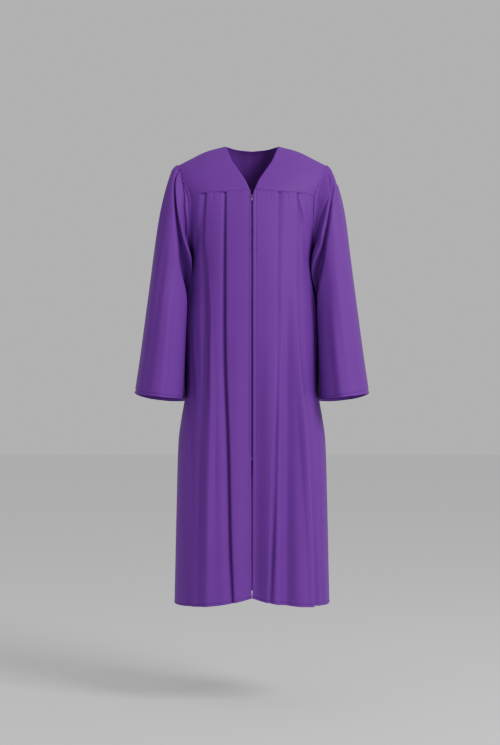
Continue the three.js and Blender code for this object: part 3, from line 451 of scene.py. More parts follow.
def turned_in(grid, edges, deep=TURNED["deep"]):
    """Adds a narrow turned edge along the sides that are sewn, going in behind the face of the cloth."""
    for side in edges:
        if side in ("left", "right"):
            grid = np.swapaxes(grid, 0, 1)
        flip = side in ("bottom", "right")
        if flip:
            grid = grid[::-1]
        normal = surface_normals(grid)
        facing = np.sign(np.sum(normal[:1] * (grid[:1] - CORE), axis=-1, keepdims=True))
        inwards = -normal[:1] * facing
        grid = np.concatenate([grid[:1] + inwards * deep, grid[:1] + inwards * TURNED["round"], grid])
        if flip:
            grid = grid[::-1]
        if side in ("left", "right"):
            grid = np.swapaxes(grid, 0, 1)
    return grid


FRONT_PLEATS = {  # drop: edge out from the centre, under, step, open, crest, dip
    "right": [
        [
            (118, 64.5, 13, 2.6, 0, 0, 0), (190, 65, 13, 4.5, 0, 0, 0), (300, 65.5, 14, 6, 0, 0, 0),
            (551, 64.5, 14, 7, 0, 0, 0), (777, 56.5, 12, 7, 0, 0, 0), (1028, 51, 9, 7, 0, 0, 0),
            (1176, 45, 7, 5, 0, 0, 0),
        ],
        [
            (118, 114, 11, 2.6, 0, 3, 2), (225, 120, 10, 3.4, 0.1, 4, 4), (401, 115, 8, 4, 0.45, 5, 5),
            (602, 104, 6, 4, 0.85, 5, 5), (777, 107, 6, 4, 1, 5, 4), (1176, 116, 6, 4, 1, 4, 3),
        ],
    ],
    "left": [
        [
            (118, 66.5, 13, 2.4, 0, 0, 0), (300, 64.5, 14, 2.6, 0, 0, 0), (576, 63, 13, 3.4, 0, 0, 0),
            (777, 53.5, 11, 4.6, 0, 0, 0), (1028, 46, 8, 7, 0, 0, 0), (1176, 40, 6, 4.5, 0, 0, 0),
        ],
        [
            (118, 113, 11, 2.4, 0, 3, 2), (237, 116, 10, 2.8, 0.1, 4, 3), (401, 114, 8, 3.2, 0.4, 5, 4),
            (602, 119, 6, 4, 0.8, 8, 4), (777, 131, 6, 4, 1, 10, 5), (1176, 149, 6, 4, 1, 9, 4),
        ],
    ],
}  # fmt: skip
FRONT_WAVES = {  # place out from the centre, half width, and how far out it stands high up, half way, low
    "right": [(0, 46, -2, -8, -14), (112, 52, 0, 5, 10), (168, 20, 0, -3, -6)],
    "left": [
        (0, 46, -2, -8, -14), (56, 46, 2, 10, 14), (88, 26, -1, -7, -10), (128, 36, 1, 9, 14),
        (176, 20, 0, -2, -4),
    ],
}  # fmt: skip
FRONT_FOLDS = {  # paths of soft folds: drop, place out from the centre, half widths in and out, depth
    "right": [
        [(119, 19, 2.4, 2.4, -1.4), (126, 19, 2.6, 2.6, -0.9), (136, 19, 3, 3, 0)],
        [(119, 29, 2.6, 2.8, -1.9), (130, 29, 3, 3, -1.2), (148, 30, 4, 4, 0)],
        [(119, 48, 2.8, 3, -1.7), (132, 48, 3.2, 3.2, -1), (150, 49, 4, 4, 0)],
        [(120, 72, 2.6, 3, -1.8), (134, 72, 3.2, 3.2, -1.1), (150, 73, 4, 4, 0)],
        [(122, 82, 3, 3.2, -1.7), (136, 82, 3.4, 3.4, -1), (154, 83, 4, 4, 0)],
        [(122, 97, 3, 3.2, -1.9), (140, 98, 3.6, 3.6, -1.2), (168, 100, 5, 5, 0)],
        [(210, 128, 8, 14, 0), (250, 138, 9, 16, -6), (305, 153, 9, 16, -10), (345, 163, 9, 14, -8),
         (400, 174, 9, 12, 0)],
        [(225, 112, 16, 8, 0), (257, 122, 20, 9, 4), (280, 132, 22, 10, 8), (305, 142, 24, 11, 12),
         (330, 149, 26, 11, 12), (363, 156, 28, 11, 11), (413, 162, 30, 11, 8), (526, 169, 30, 12, 4),
         (640, 172, 28, 12, 0)],
        [(260, 113, 9, 12, 0), (330, 116, 9, 14, -4), (420, 112, 10, 18, -6), (560, 112, 14, 24, -4),
         (700, 112, 16, 26, 0)],
        [(430, 148, 12, 14, 0), (520, 146, 12, 16, 2.5), (640, 140, 14, 18, 2), (760, 134, 14, 18, 0)],
        [(500, 84, 16, 14, 0), (700, 80, 18, 16, 2), (900, 76, 20, 17, 3), (1176, 72, 20, 17, 3)],
        [(640, 132, 18, 18, 0), (780, 130, 20, 20, -3), (940, 126, 22, 22, -4), (1176, 120, 24, 22, -3)],
        [(640, 166, 18, 12, 0), (780, 163, 20, 13, 3), (940, 160, 22, 14, 4), (1176, 152, 24, 16, 4)],
    ],
    "left": [
        [(119, 25, 2.4, 2.6, -1.7), (128, 25, 2.8, 2.8, -1.1), (142, 26, 4, 4, 0)],
        [(119, 39, 2.4, 2.6, -1.5), (128, 39, 2.8, 2.8, -0.9), (138, 39, 3, 3, 0)],
        [(119, 45, 2.6, 2.8, -1.7), (132, 45.5, 3, 3, -1.1), (152, 47, 4, 4, 0)],
        [(122, 89, 3, 3.2, -1.9), (138, 90, 3.6, 3.6, -1.2), (164, 92, 5, 5, 0)],
        [(126, 118, 4, 5, 0), (150, 122, 6, 8, 2), (187, 132, 8, 10, 3.4), (235, 149, 9, 10, 3),
         (262, 158, 9, 9, 0)],
        [(132, 134, 6, 8, 0), (165, 142, 8, 9, -3), (210, 150, 9, 9, -3), (240, 158, 9, 9, 0)],
        [(225, 112, 12, 8, 0), (250, 119, 13, 8, 4), (305, 131, 16, 8, 6.5), (363, 149, 18, 8, 6.5),
         (401, 157, 20, 9, 5.5), (476, 165, 22, 10, 3), (580, 169, 24, 10, 0)],
        [(214, 128, 8, 12, 0), (250, 133, 8, 18, -5), (305, 146, 9, 16, -8), (350, 160, 9, 14, -7),
         (400, 171, 9, 12, 0)],
        [(330, 92, 14, 16, 0), (470, 90, 16, 18, -4), (700, 84, 18, 22, -3), (1000, 78, 20, 26, -5),
         (1176, 76, 22, 28, -6)],
        [(560, 128, 20, 12, 0), (760, 132, 24, 12, 3), (1000, 142, 28, 12, 4), (1176, 150, 30, 12, 4)],
        [(480, 62, 8, 9, 0), (800, 61, 9, 10, -4), (1040, 54, 10, 12, -7), (1176, 48, 10, 14, -7)],
        [(640, 166, 9, 12, 0), (860, 172, 11, 12, -3), (1176, 180, 12, 12, -4)],
    ],
}  # fmt: skip
# The fronts are stitched down beside the zip, which leaves a soft lip to the edge and a groove on the
# stitching.
ZIP_STITCH = {"right": 7.5, "left": 10.5}  # out from the centre
for name, out in ZIP_STITCH.items():
    lip = out / 2 + 1
    FRONT_FOLDS[name] += [
        [(124, out, 1.6, 2.2, 0), (134, out, 1.6, 2.2, -0.9), (780, out, 1.6, 2.2, -0.9),
         (806, 2, 1.6, 2.2, 0)],
        [(130, lip, 3, 3, 0), (150, lip, 3, 3, 0.7), (790, lip, 3, 3, 0.7), (1176, 4, 3, 3, 0.3)],
    ]  # fmt: skip

FRONT_SEAM = (118.5, 134)  # drop of the front yoke seam at the centre and at the armhole
SEAM_FALL_ENDS = 11  # how far below the seam the rows no longer fall as it does
FRONT_HEM, FRONT_HEM_RISE = 1152, 2.3  # drop at the centre, and how late the hem rises to it


def yoke_fall(share):
    return along(YOKE_FALL, share)[:, 0]


def front_fall(share, edge):
    """Share of a row's fall from its centre to its edge, by share of the way out."""
    high = np.clip((edge - FRONT_SEAM[1]) / SEAM_FALL_ENDS, 0, 1)
    low = np.clip((edge - HEM_FROM) / (HEM - HEM_FROM), 0, 1)
    at_hem = 1 - (1 - share) ** FRONT_HEM_RISE
    return yoke_fall(share) * (1 - high) + share * (high - low) + at_hem * low


def spaced(*spans):
    """Places down the gown: each span is its end and its step, on from the one before."""
    places = [spans[0]]
    for end, step in spans[1:]:
        count = max(1, round((end - places[-1]) / step))
        places += list(np.linspace(places[-1], end, count + 1)[1:])
    return places


front_places = spaced(
    FRONT_SEAM[1], (150, 1.6), (190, 2.6), (300, 4.5), (HEM_FROM, 8), (FRONT_HEM, 6), (HEM, 1.6)
)  # fmt: skip
front_rows = body_rows(FRONT_SEAM, FRONT_HEM, front_places)
CLOTH_WALL = 0.9
ZIP_EDGE_DEEP = 3  # how far the folded edge goes in behind the zip
fronts = {}
for name, sign in (("right", -1), ("left", 1)):
    fronts[name] = body_half(
        FRONT_PLAN,
        True,
        front_rows,
        lambda drop: along(FRONT_EDGE, drop)[0],
        FRONT_PLEATS[name],
        FRONT_WAVES[name],
        FRONT_FOLDS[name],
        front_fall,
    )
    grid = turned_in(fronts[name], ["top", "right"])
    grid = turned_in(grid, ["left"], ZIP_EDGE_DEEP)
    piece = make_cloth("front_%s_cloth" % name, grid * (sign, 1, 1), CLOTH_WALL, cloth)
    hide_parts("front_" + name)
    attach(piece, "robe")

# ---- Back ----
# The back is one width of the gown cloth, pleated twice on each side into the back yoke. Its hem is turned up
# like the hem of the fronts, and rises a little less in the middle.
BACK_PLAN = [  # the same columns as for the fronts
    (135, 98, 0.46, 0.75, 92), (180, 104, 0.5, 0.81, 95), (225, 107, 0.52, 0.89, 90),
    (252, 108, 0.54, 0.94, 92), (268, 108.7, 0.55, 0.975, 102), (276, 109, 0.55, 0.99, 110),
    (400, 111, 0.57, 1, 103), (700, 117, 0.57, 1, 104), (1176, 134, 0.55, 1, 110),
]  # fmt: skip
BACK_PLEATS = [
    [
        (135, 46, 13, 2.6, 0, 3, 3), (400, 48, 13, 3.4, 0, 4, 4), (800, 52, 10, 4.6, 0.15, 6, 6),
        (1176, 58, 7, 4.6, 0.5, 7, 7),
    ],
    [
        (135, 102, 12, 2.6, 0, 3, 3), (250, 104, 10, 3.4, 0.1, 4, 4), (400, 106, 8, 4, 0.45, 5, 5),
        (600, 111, 6, 4, 0.85, 5, 5), (800, 117, 6, 4, 1, 5, 6), (1176, 130, 6, 4, 1, 6, 6),
    ],
]  # fmt: skip
BACK_WAVES = [(0, 34, 0, 4, 8), (84, 24, 0, -3, -7)]
BACK_FOLDS = {
    "right": [
        [(136, 14, 2.8, 2.8, -1.5), (146, 14, 3, 3, -0.9), (160, 15, 4, 4, 0)],
        [(136, 30, 2.8, 2.8, -1.7), (150, 30, 3.2, 3.2, -1), (168, 31, 4, 4, 0)],
        [(136, 78, 3, 3, -1.8), (152, 78, 3.4, 3.4, -1.1), (172, 80, 5, 5, 0)],
        [(136, 90, 3, 3, -1.5), (146, 90, 3.2, 3.2, -0.8), (160, 91, 4, 4, 0)],
        [(180, 132, 10, 14, 0), (250, 142, 12, 18, -6), (320, 156, 14, 18, -8), (400, 172, 14, 16, 0)],
        [(240, 118, 12, 12, 0), (340, 138, 16, 14, 4), (460, 154, 18, 14, 3), (620, 160, 20, 14, 0)],
        [(430, 80, 14, 14, 0), (700, 84, 16, 16, -5), (1176, 92, 20, 20, -8)],
        [(560, 150, 14, 14, 0), (760, 150, 16, 16, -5), (1176, 146, 18, 18, -7)],
        [(620, 176, 14, 12, 0), (800, 176, 14, 12, 5), (1176, 174, 16, 12, 6)],
    ],
    "left": [
        [(136, 20, 2.8, 2.8, -1.6), (148, 20, 3, 3, -1), (164, 21, 4, 4, 0)],
        [(136, 34, 2.8, 2.8, -1.3), (148, 34, 3, 3, -0.8), (160, 34, 4, 4, 0)],
        [(136, 72, 3, 3, -1.8), (152, 73, 3.4, 3.4, -1.1), (176, 75, 5, 5, 0)],
        [(136, 86, 3, 3, -1.4), (146, 86, 3.2, 3.2, -0.8), (160, 87, 4, 4, 0)],
        [(190, 130, 10, 14, 0), (260, 142, 12, 18, -7), (330, 158, 14, 18, -7), (400, 172, 14, 16, 0)],
        [(230, 116, 12, 12, 0), (330, 136, 16, 14, 4.5), (470, 152, 18, 14, 3), (640, 160, 20, 14, 0)],
        [(450, 84, 14, 14, 0), (720, 86, 16, 16, -6), (1176, 96, 20, 20, -8)],
        [(520, 146, 14, 14, 0), (740, 152, 17, 17, -6), (1176, 154, 19, 19, -7)],
        [(600, 178, 14, 12, 0), (820, 178, 14, 12, 5), (1176, 180, 16, 12, 7)],
    ],
}  # fmt: skip

BACK_SEAM = (150, 135)  # drop of the back yoke seam at the centre and at the armhole
BACK_HEM, BACK_HEM_RISE = 1162, 1.6


def back_fall(share, edge):
    low = np.clip((edge - HEM_FROM) / (HEM - HEM_FROM), 0, 1)
    return share * (1 - low) + (1 - (1 - share) ** BACK_HEM_RISE) * low


back_places = spaced(
    BACK_SEAM[1], (150, 2.1), (190, 3), (300, 5.5), (HEM_FROM, 11), (1152, 9), (HEM, 1.9)
)  # fmt: skip
back_rows = body_rows(BACK_SEAM, BACK_HEM, back_places)
halves = [
    body_half(BACK_PLAN, False, back_rows, lambda drop: 0, BACK_PLEATS, BACK_WAVES, folds, back_fall)
    for folds in (BACK_FOLDS["right"], BACK_FOLDS["left"])
]
back_grid = np.concatenate([(halves[0] * (-1, 1, 1))[:, :0:-1], halves[1]], axis=1)
grid = turned_in(back_grid, ["top", "left", "right"])
back = make_cloth("back_cloth", grid, CLOTH_WALL, cloth)
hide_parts("back")
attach(back, "robe")

# ---- Yokes ----
# The two front yokes and the back yoke are cut double from the gown cloth. They meet in the shoulder seams,
# and their lower edges are sewn over the tops of the fronts and the back.
YOKE_WALL = 1.5  # two layers and the seam allowances between them
NECK_FOOT = 6.2  # from the centre to the front yoke at the foot of the neckline
# The neckline and the shoulder seam: share of the way, x, y, z
NECK_FRONT = [
    (0, 68, 0, 0), (0.2, 61.5, -28, -17), (0.4, 51, -52, -42), (0.6, 35, -71, -67),
    (0.8, 18.5, -85, -92), (1, NECK_FOOT, -95.5, -FRONT_SEAM[0]),
]  # fmt: skip
NECK_BACK = [(0, 68, 0, 0), (0.3, 62, 27, 1), (0.65, 38, 52, -3), (1, 0, 61, -6)]
SHOULDER = [(0, 68, 0, 0), (0.42, 118, 1, -13.5), (0.8, 164, 3, -35.5), (1, 188, 4, -48)]


def patch(top, bottom, left, right):
    """A surface stretched between four edges, each a row of points."""
    rows, cols = len(left), len(top)
    v, u = np.linspace(0, 1, rows)[:, None, None], np.linspace(0, 1, cols)[None, :, None]
    across = left[:, None] * (1 - u) + right[:, None] * u
    down = top[None] * (1 - v) + bottom[None] * v
    corners = (top[0] * (1 - u) + top[-1] * u) * (1 - v) + (bottom[0] * (1 - u) + bottom[-1] * u) * v
    return across + down - corners


def seam_row(plan, drops, turn, begin, at, fall):
    """Points of a yoke seam on the +X side, at shares of the way from a place near the centre to its end."""
    centre, edge = drops
    end = armhole(turn)
    seam = PlanCurve(plan, edge, end)
    on, _ = seam.at_length(begin + (seam.length - begin) * at)
    share = on[:, 0] / end[0]
    drop = centre + (edge - centre) * fall(share)
    return np.stack([on[:, 0], on[:, 1] + lift(plan, drop, edge) * (1 - share**2), -drop], 1)


u, v = np.linspace(0, 1, 49), np.linspace(0, 1, 33)
spread = u + 0.35 * u * (1 - u)  # closer together towards the armhole
for name, sign in (("right", -1), ("left", 1)):
    bottom = seam_row(FRONT_PLAN, FRONT_SEAM, FRONT_YOKE_TURN, NECK_FOOT, spread, yoke_fall)
    neckline, armhole_edge = along(NECK_FRONT, v), armhole(v * FRONT_YOKE_TURN)
    grid = patch(along(SHOULDER, spread), bottom, neckline, armhole_edge)
    grid = turned_in(grid, ["bottom", "right", "top"])
    piece = make_cloth("yoke_%s_cloth" % name, grid * (sign, 1, 1), YOKE_WALL, cloth)
    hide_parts("yoke_" + name)
    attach(piece, "robe")

NECK_SHARE = 0.36  # share of half the back yoke's top that lies on the neckline
SHOULDER_BLADES = (0, 13, 9)  # how far the back yoke rounds out over them
u, v = np.linspace(0, 1, 121), np.linspace(0, 1, 41)
out = np.abs(2 * u - 1)
sides = np.stack([np.sign(u - 0.5), np.ones_like(u), np.ones_like(u)], 1)
top = np.where(
    (out < NECK_SHARE)[:, None],
    along(NECK_BACK, np.clip(1 - out / NECK_SHARE, 0, 1)),
    along(SHOULDER, np.clip((out - NECK_SHARE) / (1 - NECK_SHARE), 0, 1)),
)
bottom = seam_row(BACK_PLAN, BACK_SEAM, BACK_YOKE_TURN, 0, out, lambda share: share)
edge = armhole(360 - v * (360 - BACK_YOKE_TURN))
grid = patch(top * sides, bottom * sides, edge * (-1, 1, 1), edge)
rounding = 4 * v[:, None] * (1 - v[:, None]) * bell((out[None] - 0.5) / 0.5)
grid = grid + rounding[..., None] * SHOULDER_BLADES
grid = turned_in(grid, ["bottom", "left", "right"])
yoke_back = make_cloth("yoke_back_cloth", grid, YOKE_WALL, cloth)
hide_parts("yoke_back")
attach(yoke_back, "robe")

# ---- Sleeves ----
# Each bell sleeve is one piece of the gown cloth with a seam under the arm. Its head is gathered into the
# armhole, and its cuff is turned up and stitched.
SLEEVE = [  # way: seam, outer line x z, inner line x z, front, back, lean over the body
    (0.035, 1, 200, -53, 163, -281, -69, 79, 0), (0.08, 0.55, 208.5, -67, 162, -291, -78, 87, 3),
    (0.125, 0.28, 214.5, -83, 158, -303, -84, 92, 9), (0.18, 0.13, 221, -103, 156.8, -318, -89, 96, 12),
    (0.25, 0.04, 229, -135, 158.6, -340, -93, 100, 13), (0.34, 0, 239, -184, 163, -372, -97, 103, 12),
    (0.45, 0, 250, -256, 168.6, -415, -101, 105, 12), (0.57, 0, 261, -341, 172.8, -467, -106, 106, 12),
    (0.71, 0, 273, -431, 174.4, -526, -111, 107, 11), (0.86, 0, 287.5, -539, 175.8, -592, -117, 106, 10),
    (1, 0, 302, -636, 178, -651, -122, 104, 10),
]  # fmt: skip
# Long folds of the sleeve: way down it, turn, half widths on the two sides in millimetres, depth
HEAD_FOLDS = {
    "right": [
        [(0.03, 22, 6, 7, -2.4), (0.06, 28, 7, 9, -6), (0.1, 41, 8, 11, -10), (0.15, 61, 10, 14, -14),
         (0.2, 84, 14, 26, -20), (0.25, 105, 18, 52, -34), (0.3, 121, 24, 58, -46),
         (0.36, 139, 26, 52, -50), (0.42, 152, 26, 42, -44), (0.5, 161, 26, 36, -30),
         (0.6, 168, 26, 30, -12), (0.7, 175, 26, 28, 0)],
        [(0.045, 33, 6, 6, 0), (0.06, 38, 7, 7, 2.4), (0.1, 58, 9, 9, 4), (0.15, 82, 10, 10, 4),
         (0.165, 106, 10, 10, 2), (0.17, 125, 10, 10, 0)],
        [(0.02, 36, 4, 6, -1), (0.035, 44, 6, 7, -3.4), (0.06, 60, 7, 8, -5), (0.08, 85, 8, 9, -7),
         (0.085, 106, 10, 16, -10), (0.1, 124, 14, 24, -14), (0.15, 138, 16, 28, -17),
         (0.2, 149, 16, 28, -15), (0.26, 158, 16, 24, -7), (0.31, 165, 14, 20, 0)],
        [(0.012, 46, 4, 4, 0), (0.02, 58, 6, 5, 2), (0.03, 80, 8, 6, 3.4), (0.03, 104, 8, 6, 2.6),
         (0.02, 124, 5, 4, 0)],
        [(0.14, 12, 8, 10, 0), (0.22, 24, 12, 14, 2.4), (0.34, 30, 16, 18, 2.6), (0.5, 34, 20, 22, 0)],
        [(0.3, 74, 20, 20, 0), (0.5, 70, 26, 26, -3), (0.8, 66, 30, 30, -4), (1, 64, 32, 32, -4)],
        [(0.45, 104, 22, 20, 0), (0.65, 100, 26, 24, 3), (1, 98, 30, 26, 4)],
        [(0.03, 322, 10, 10, -2), (0.09, 309, 16, 16, -6), (0.16, 296, 24, 24, -9), (0.3, 268, 34, 34, -12),
         (0.5, 240, 34, 34, -7), (0.7, 225, 34, 34, 0)],
        [(0.03, 290, 7, 7, -1), (0.08, 270, 10, 10, -5), (0.14, 244, 14, 14, -7), (0.22, 218, 16, 16, 0)],
        [(0.4, 300, 24, 24, 0), (0.7, 296, 28, 28, -4), (1, 292, 30, 30, -4)],
    ],
    "left": [
        [(0.05, 2, 6, 6, -1), (0.1, 8, 8, 8, -3.5), (0.15, 34, 9, 10, -6), (0.18, 60, 10, 13, -10),
         (0.21, 80, 12, 18, -13), (0.24, 100, 16, 26, -22), (0.3, 124, 22, 42, -34),
         (0.4, 146, 24, 42, -34), (0.5, 158, 24, 36, -20), (0.62, 170, 26, 28, 0)],
        [(0.06, 14, 6, 6, 0), (0.1, 26, 8, 8, 3), (0.13, 48, 9, 9, 4), (0.15, 74, 10, 10, 4),
         (0.16, 98, 10, 10, 3), (0.18, 120, 10, 10, 0)],
        [(0.04, 22, 5, 5, 0), (0.07, 30, 6, 6, -2.4), (0.12, 48, 7, 7, -4), (0.14, 65, 8, 8, -4),
         (0.1, 95, 8, 9, -5), (0.08, 124, 9, 13, -7), (0.11, 148, 10, 15, -4), (0.16, 165, 10, 14, 0)],
        [(0.02, 52, 5, 5, 0), (0.035, 72, 7, 6, 2.6), (0.035, 98, 8, 6, 2.8), (0.02, 122, 5, 4, 0)],
        [(0.12, 350, 8, 8, 0), (0.2, 4, 11, 11, 2.6), (0.32, 12, 15, 16, 2.4), (0.48, 18, 20, 22, 0)],
        [(0.14, 20, 8, 9, 0), (0.24, 36, 11, 13, 2.4), (0.36, 44, 14, 18, 2), (0.52, 52, 20, 22, 0)],
        [(0.34, 80, 20, 20, 0), (0.55, 74, 26, 26, -2.6), (0.8, 70, 30, 30, -3.6), (1, 68, 32, 32, -4)],
        [(0.5, 110, 22, 20, 0), (0.7, 106, 26, 24, 3), (1, 102, 30, 26, 4)],
        [(0.03, 318, 10, 10, -2), (0.09, 304, 16, 16, -6), (0.17, 290, 24, 24, -9),
         (0.32, 262, 34, 34, -11), (0.5, 238, 34, 34, -6), (0.68, 225, 34, 34, 0)],
        [(0.03, 286, 7, 7, -1), (0.08, 266, 10, 10, -5), (0.14, 240, 14, 14, -6), (0.22, 214, 16, 16, 0)],
        [(0.42, 304, 24, 24, 0), (0.7, 300, 28, 28, -4), (1, 296, 30, 30, -5)],
    ],
}  # fmt: skip
SLEEVE_GATHERS = {  # turn, half width in degrees, height, how far down the sleeve it lasts
    "right": [
        (-96, 5.5, 1.8, 0.12), (-80, 5, 2.2, 0.15), (-65, 5, 2, 0.13), (-50, 5.5, 2.6, 0.2),
        (-35, 4.5, 2.2, 0.15), (-21, 5, 2.6, 0.2), (-8, 4, 2.8, 0.16), (3, 3.6, 3, 0.2),
        (13, 3.2, 3, 0.12), (22, 3, 3.2, 0.1), (31, 3, 3.2, 0.12), (40, 3, 3, 0.08),
        (49, 3.4, 2.8, 0.1), (59, 3.6, 2.2, 0.08), (70, 4, 1.6, 0.07),
    ],
    "left": [
        (-98, 5.5, 1.7, 0.11), (-83, 5, 2, 0.14), (-68, 5, 2.2, 0.15), (-54, 5, 2.1, 0.16),
        (-39, 5.5, 2.5, 0.2), (-24, 4.5, 2.2, 0.14), (-11, 4, 2.8, 0.18), (0, 3.6, 3, 0.14),
        (10, 3.2, 3.2, 0.2), (19, 3, 3.2, 0.12), (28, 2.8, 3.4, 0.11), (37, 3, 3.4, 0.1),
        (46, 3, 3.2, 0.12), (56, 3.4, 2.8, 0.08), (67, 4, 2, 0.08),
    ],
}  # fmt: skip
LENGTH, GIRTH = 500, 1.55  # millimetres down the whole sleeve, and round it for each degree


def fold_map(folds, ways, turns):
    """Depth of long folds all over the sleeve, each along a smooth path of its own."""
    depth = np.zeros((len(ways), len(turns)))
    for path in folds:
        keys = np.array(path, float)
        line = through(keys * (LENGTH, GIRTH, 1, 1, 1), [6] * (len(keys) - 1))
        middle = keys[:, 1].mean()
        a = np.repeat(np.array(ways)[:, None] * LENGTH, len(turns), 1)
        b = np.repeat((np.mod(turns - middle + 180, 360) - 180 + middle)[None] * GIRTH, len(ways), 0)
        nearest = np.full(a.shape, 1e9)
        best = np.zeros(a.shape)
        for start, end in zip(line[:-1], line[1:]):
            da, db = end[:2] - start[:2]
            t = np.clip(((a - start[0]) * da + (b - start[1]) * db) / (da * da + db * db + 1e-9), 0, 1)
            off_a, off_b = a - start[0] - t * da, b - start[1] - t * db
            off = np.hypot(off_a, off_b)
            near, far, deep = (start[k] + (end[k] - start[k]) * t for k in (2, 3, 4))
            wide = np.where(da * off_b - db * off_a > 0, far, near)
            closer = off < nearest
            nearest = np.where(closer, off, nearest)
            best = np.where(closer, deep * bell(off / wide), best)
        depth += best
    return depth


SEAM_LEAN = 0.45  # how far the cloth's thickness leans outwards at the armhole
SEAM_RUN, SEAM_REACH = 140, 14  # how fast, and how far, the sleeve runs straight out from the armhole
SQUARENESS = 2.25  # of the rings: 2 is an ellipse
LEAN_TURNS, LEAN_WIDE = (143, 217), 37  # where the sleeve leans over the body, in front and behind
CUFF_BACK_FALL = 13  # how much lower the back of the cuff hangs
GATHERS_FROM = 0.03  # share of the sleeve over which the gathers rise from the seam


def armhole_normal(turn):
    """Directions out of the cloth at the armhole seam."""
    a = np.radians(turn)
    return unit(np.stack([np.full_like(a, SEAM_LEAN), -np.sin(a), np.cos(a)], -1))


def sleeve_ring(way, turn, gathers, deep):
    """Points of a ring round the sleeve on the +X side, at a share of the way from armhole to cuff."""
    a = np.radians(turn)
    seam, out_x, out_z, in_x, in_z, front, back, lean = along(SLEEVE, way)
    power = 2 / SQUARENESS
    c = np.sign(np.cos(a)) * np.abs(np.cos(a)) ** power
    s = np.sign(np.sin(a)) * np.abs(np.sin(a)) ** power
    leaning = sum(bell((turn - middle) / LEAN_WIDE) for middle in LEAN_TURNS)
    x = in_x + (out_x - in_x) * (1 + c) / 2 - lean * leaning
    z = in_z + (out_z - in_z) * (1 + c) / 2
    y = np.where(s > 0, s * front, -s * back)
    z = z + np.where(s < 0, s * CUFF_BACK_FALL * way**3, 0)
    p = np.stack([x, y, z], -1)
    normal = armhole_normal(turn)
    leaving = unit(np.array([1.0, 0, 0]) - normal * normal[:, :1])
    p = p * (1 - seam) + (armhole(turn) + leaving * min(SEAM_RUN * way, SEAM_REACH)) * seam
    outward = unit(np.stack([np.where(c > 0, 0.7, 0.3) * c, -s, 0.2 * c], -1))
    p = p + outward * deep[:, None]
    rise = np.zeros_like(a)
    for place, wide, height, last in gathers:
        fade = ease(way / GATHERS_FROM) * ease(1 - way / last)
        rise += height * fade * bell((np.mod(turn - place + 540, 360) - 180) / wide)
    around = unit(np.stack([0.5 * np.cos(a) + 0.3, -np.sin(a), 0.6 * np.cos(a)], -1))
    return p + around * rise[:, None]


ways = spaced(0, (0.1, 0.004), (0.2, 0.0075), (0.96, 0.014), (0.98, 0.005), (1, 0.0024))
turns = np.linspace(0, 360, 241)[:-1]
CUFF_STITCH, CUFF_GROOVE = 5.5, (1.8, 3)  # up from the edge of the cuff; depth and half width
up = (1 - np.array(ways)) * LENGTH
sleeve_grids = {}
for name, sign in (("right", -1), ("left", 1)):
    deep = fold_map(HEAD_FOLDS[name], ways, turns)
    deep -= CUFF_GROOVE[0] * bell((up - CUFF_STITCH) / CUFF_GROOVE[1])[:, None]
    grid = np.array([sleeve_ring(way, turns, SLEEVE_GATHERS[name], d) for way, d in zip(ways, deep)])
    seam_allowance = [
        grid[0] - armhole_normal(turns) * inwards + (-0.3, 0, 0) for inwards in (TURNED["deep"], 0.8)
    ]
    sleeve_grids[name] = np.concatenate([seam_allowance, grid]) * (sign, 1, 1)
    piece = make_cloth("sleeve_%s_cloth" % name, sleeve_grids[name], CLOTH_WALL, cloth, closed=True)
    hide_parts("sleeve_" + name)
    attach(piece, "robe")

# ---- Stitching ----
# Purple polyester thread, 2.8 mm to the stitch: one row round the hem and round each cuff, where the cloth
# is turned up, and one down each front beside the zip.
STITCH, THREAD = 2.8, 0.22  # length of a stitch, and half the thread's thickness
STITCH_PATH = ((0.12, -0.1), (0.3, 0.12), (0.7, 0.12), (0.88, -0.1))  # share of its length, height


def thread_material():
    shader = Shader("purple thread")
    place = shader.node("ShaderNodeTexCoord", None, None, "Object")
    twist = shader.noise(place, 2400.0, 1.0)
    colour = shader.mix(twist, (0.05, 0.008, 0.12, 1), (0.08, 0.013, 0.18, 1))
    return shader.surface({"Base Color": colour, "Roughness": 0.55 + twist * 0.2})


def stitched(name, rows, material):
    """A piece made of the stitches along rows of points, each row with the directions out of its cloth."""
    points, faces = [], []
    for row, out in rows:
        steps = np.linalg.norm(np.diff(row, axis=0), axis=1)
        at = np.concatenate([[0], np.cumsum(steps)])
        count = int(at[-1] / STITCH)
        begin = np.arange(count) * STITCH
        ends = []
        for share, height in STITCH_PATH:
            place = begin + share * STITCH
            spot = np.stack([np.interp(place, at, row[:, k]) for k in range(3)], -1)
            away = unit(np.stack([np.interp(place, at, out[:, k]) for k in range(3)], -1))
            ends.append((spot, away, height))
        along_row = unit(ends[-1][0] - ends[0][0])
        for i in range(count):
            base = len(points)
            for spot, away, height in ends:
                middle = spot[i] + away[i] * height
                side = np.cross(along_row[i], away[i]) * THREAD
                up = away[i] * THREAD
                points += [middle + side, middle + up, middle - side, middle - up]
            for ring in range(3):
                for k in range(4):
                    a, b = base + ring * 4 + k, base + ring * 4 + (k + 1) % 4
                    faces.append((a, b, b + 4, a + 4))
            faces += [(base + 3, base + 2, base + 1, base), (base + 12, base + 13, base + 14, base + 15)]
    mesh = bpy.data.meshes.new(name)
    mesh.from_pydata((np.array(points) * MM).tolist(), [], faces)
    work = bmesh.new()
    work.from_mesh(mesh)
    bmesh.ops.recalc_face_normals(work, faces=work.faces)
    work.to_mesh(mesh)
    work.free()
    mesh.materials.append(material)
    piece = bpy.data.objects.new(name, mesh)
    bpy.context.scene.collection.objects.link(piece)
    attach(piece, "robe")


def face_row(grid, row, middle):
    """A row of a grid on the face of its cloth, away from a middle point, with the directions out of it."""
    normal = surface_normals(grid)[row]
    away = grid[row] - middle
    away[:, 2] = 0
    normal = normal * np.sign(np.sum(normal * away, -1, keepdims=True))
    return grid[row] + normal * CLOTH_WALL / 2, normal


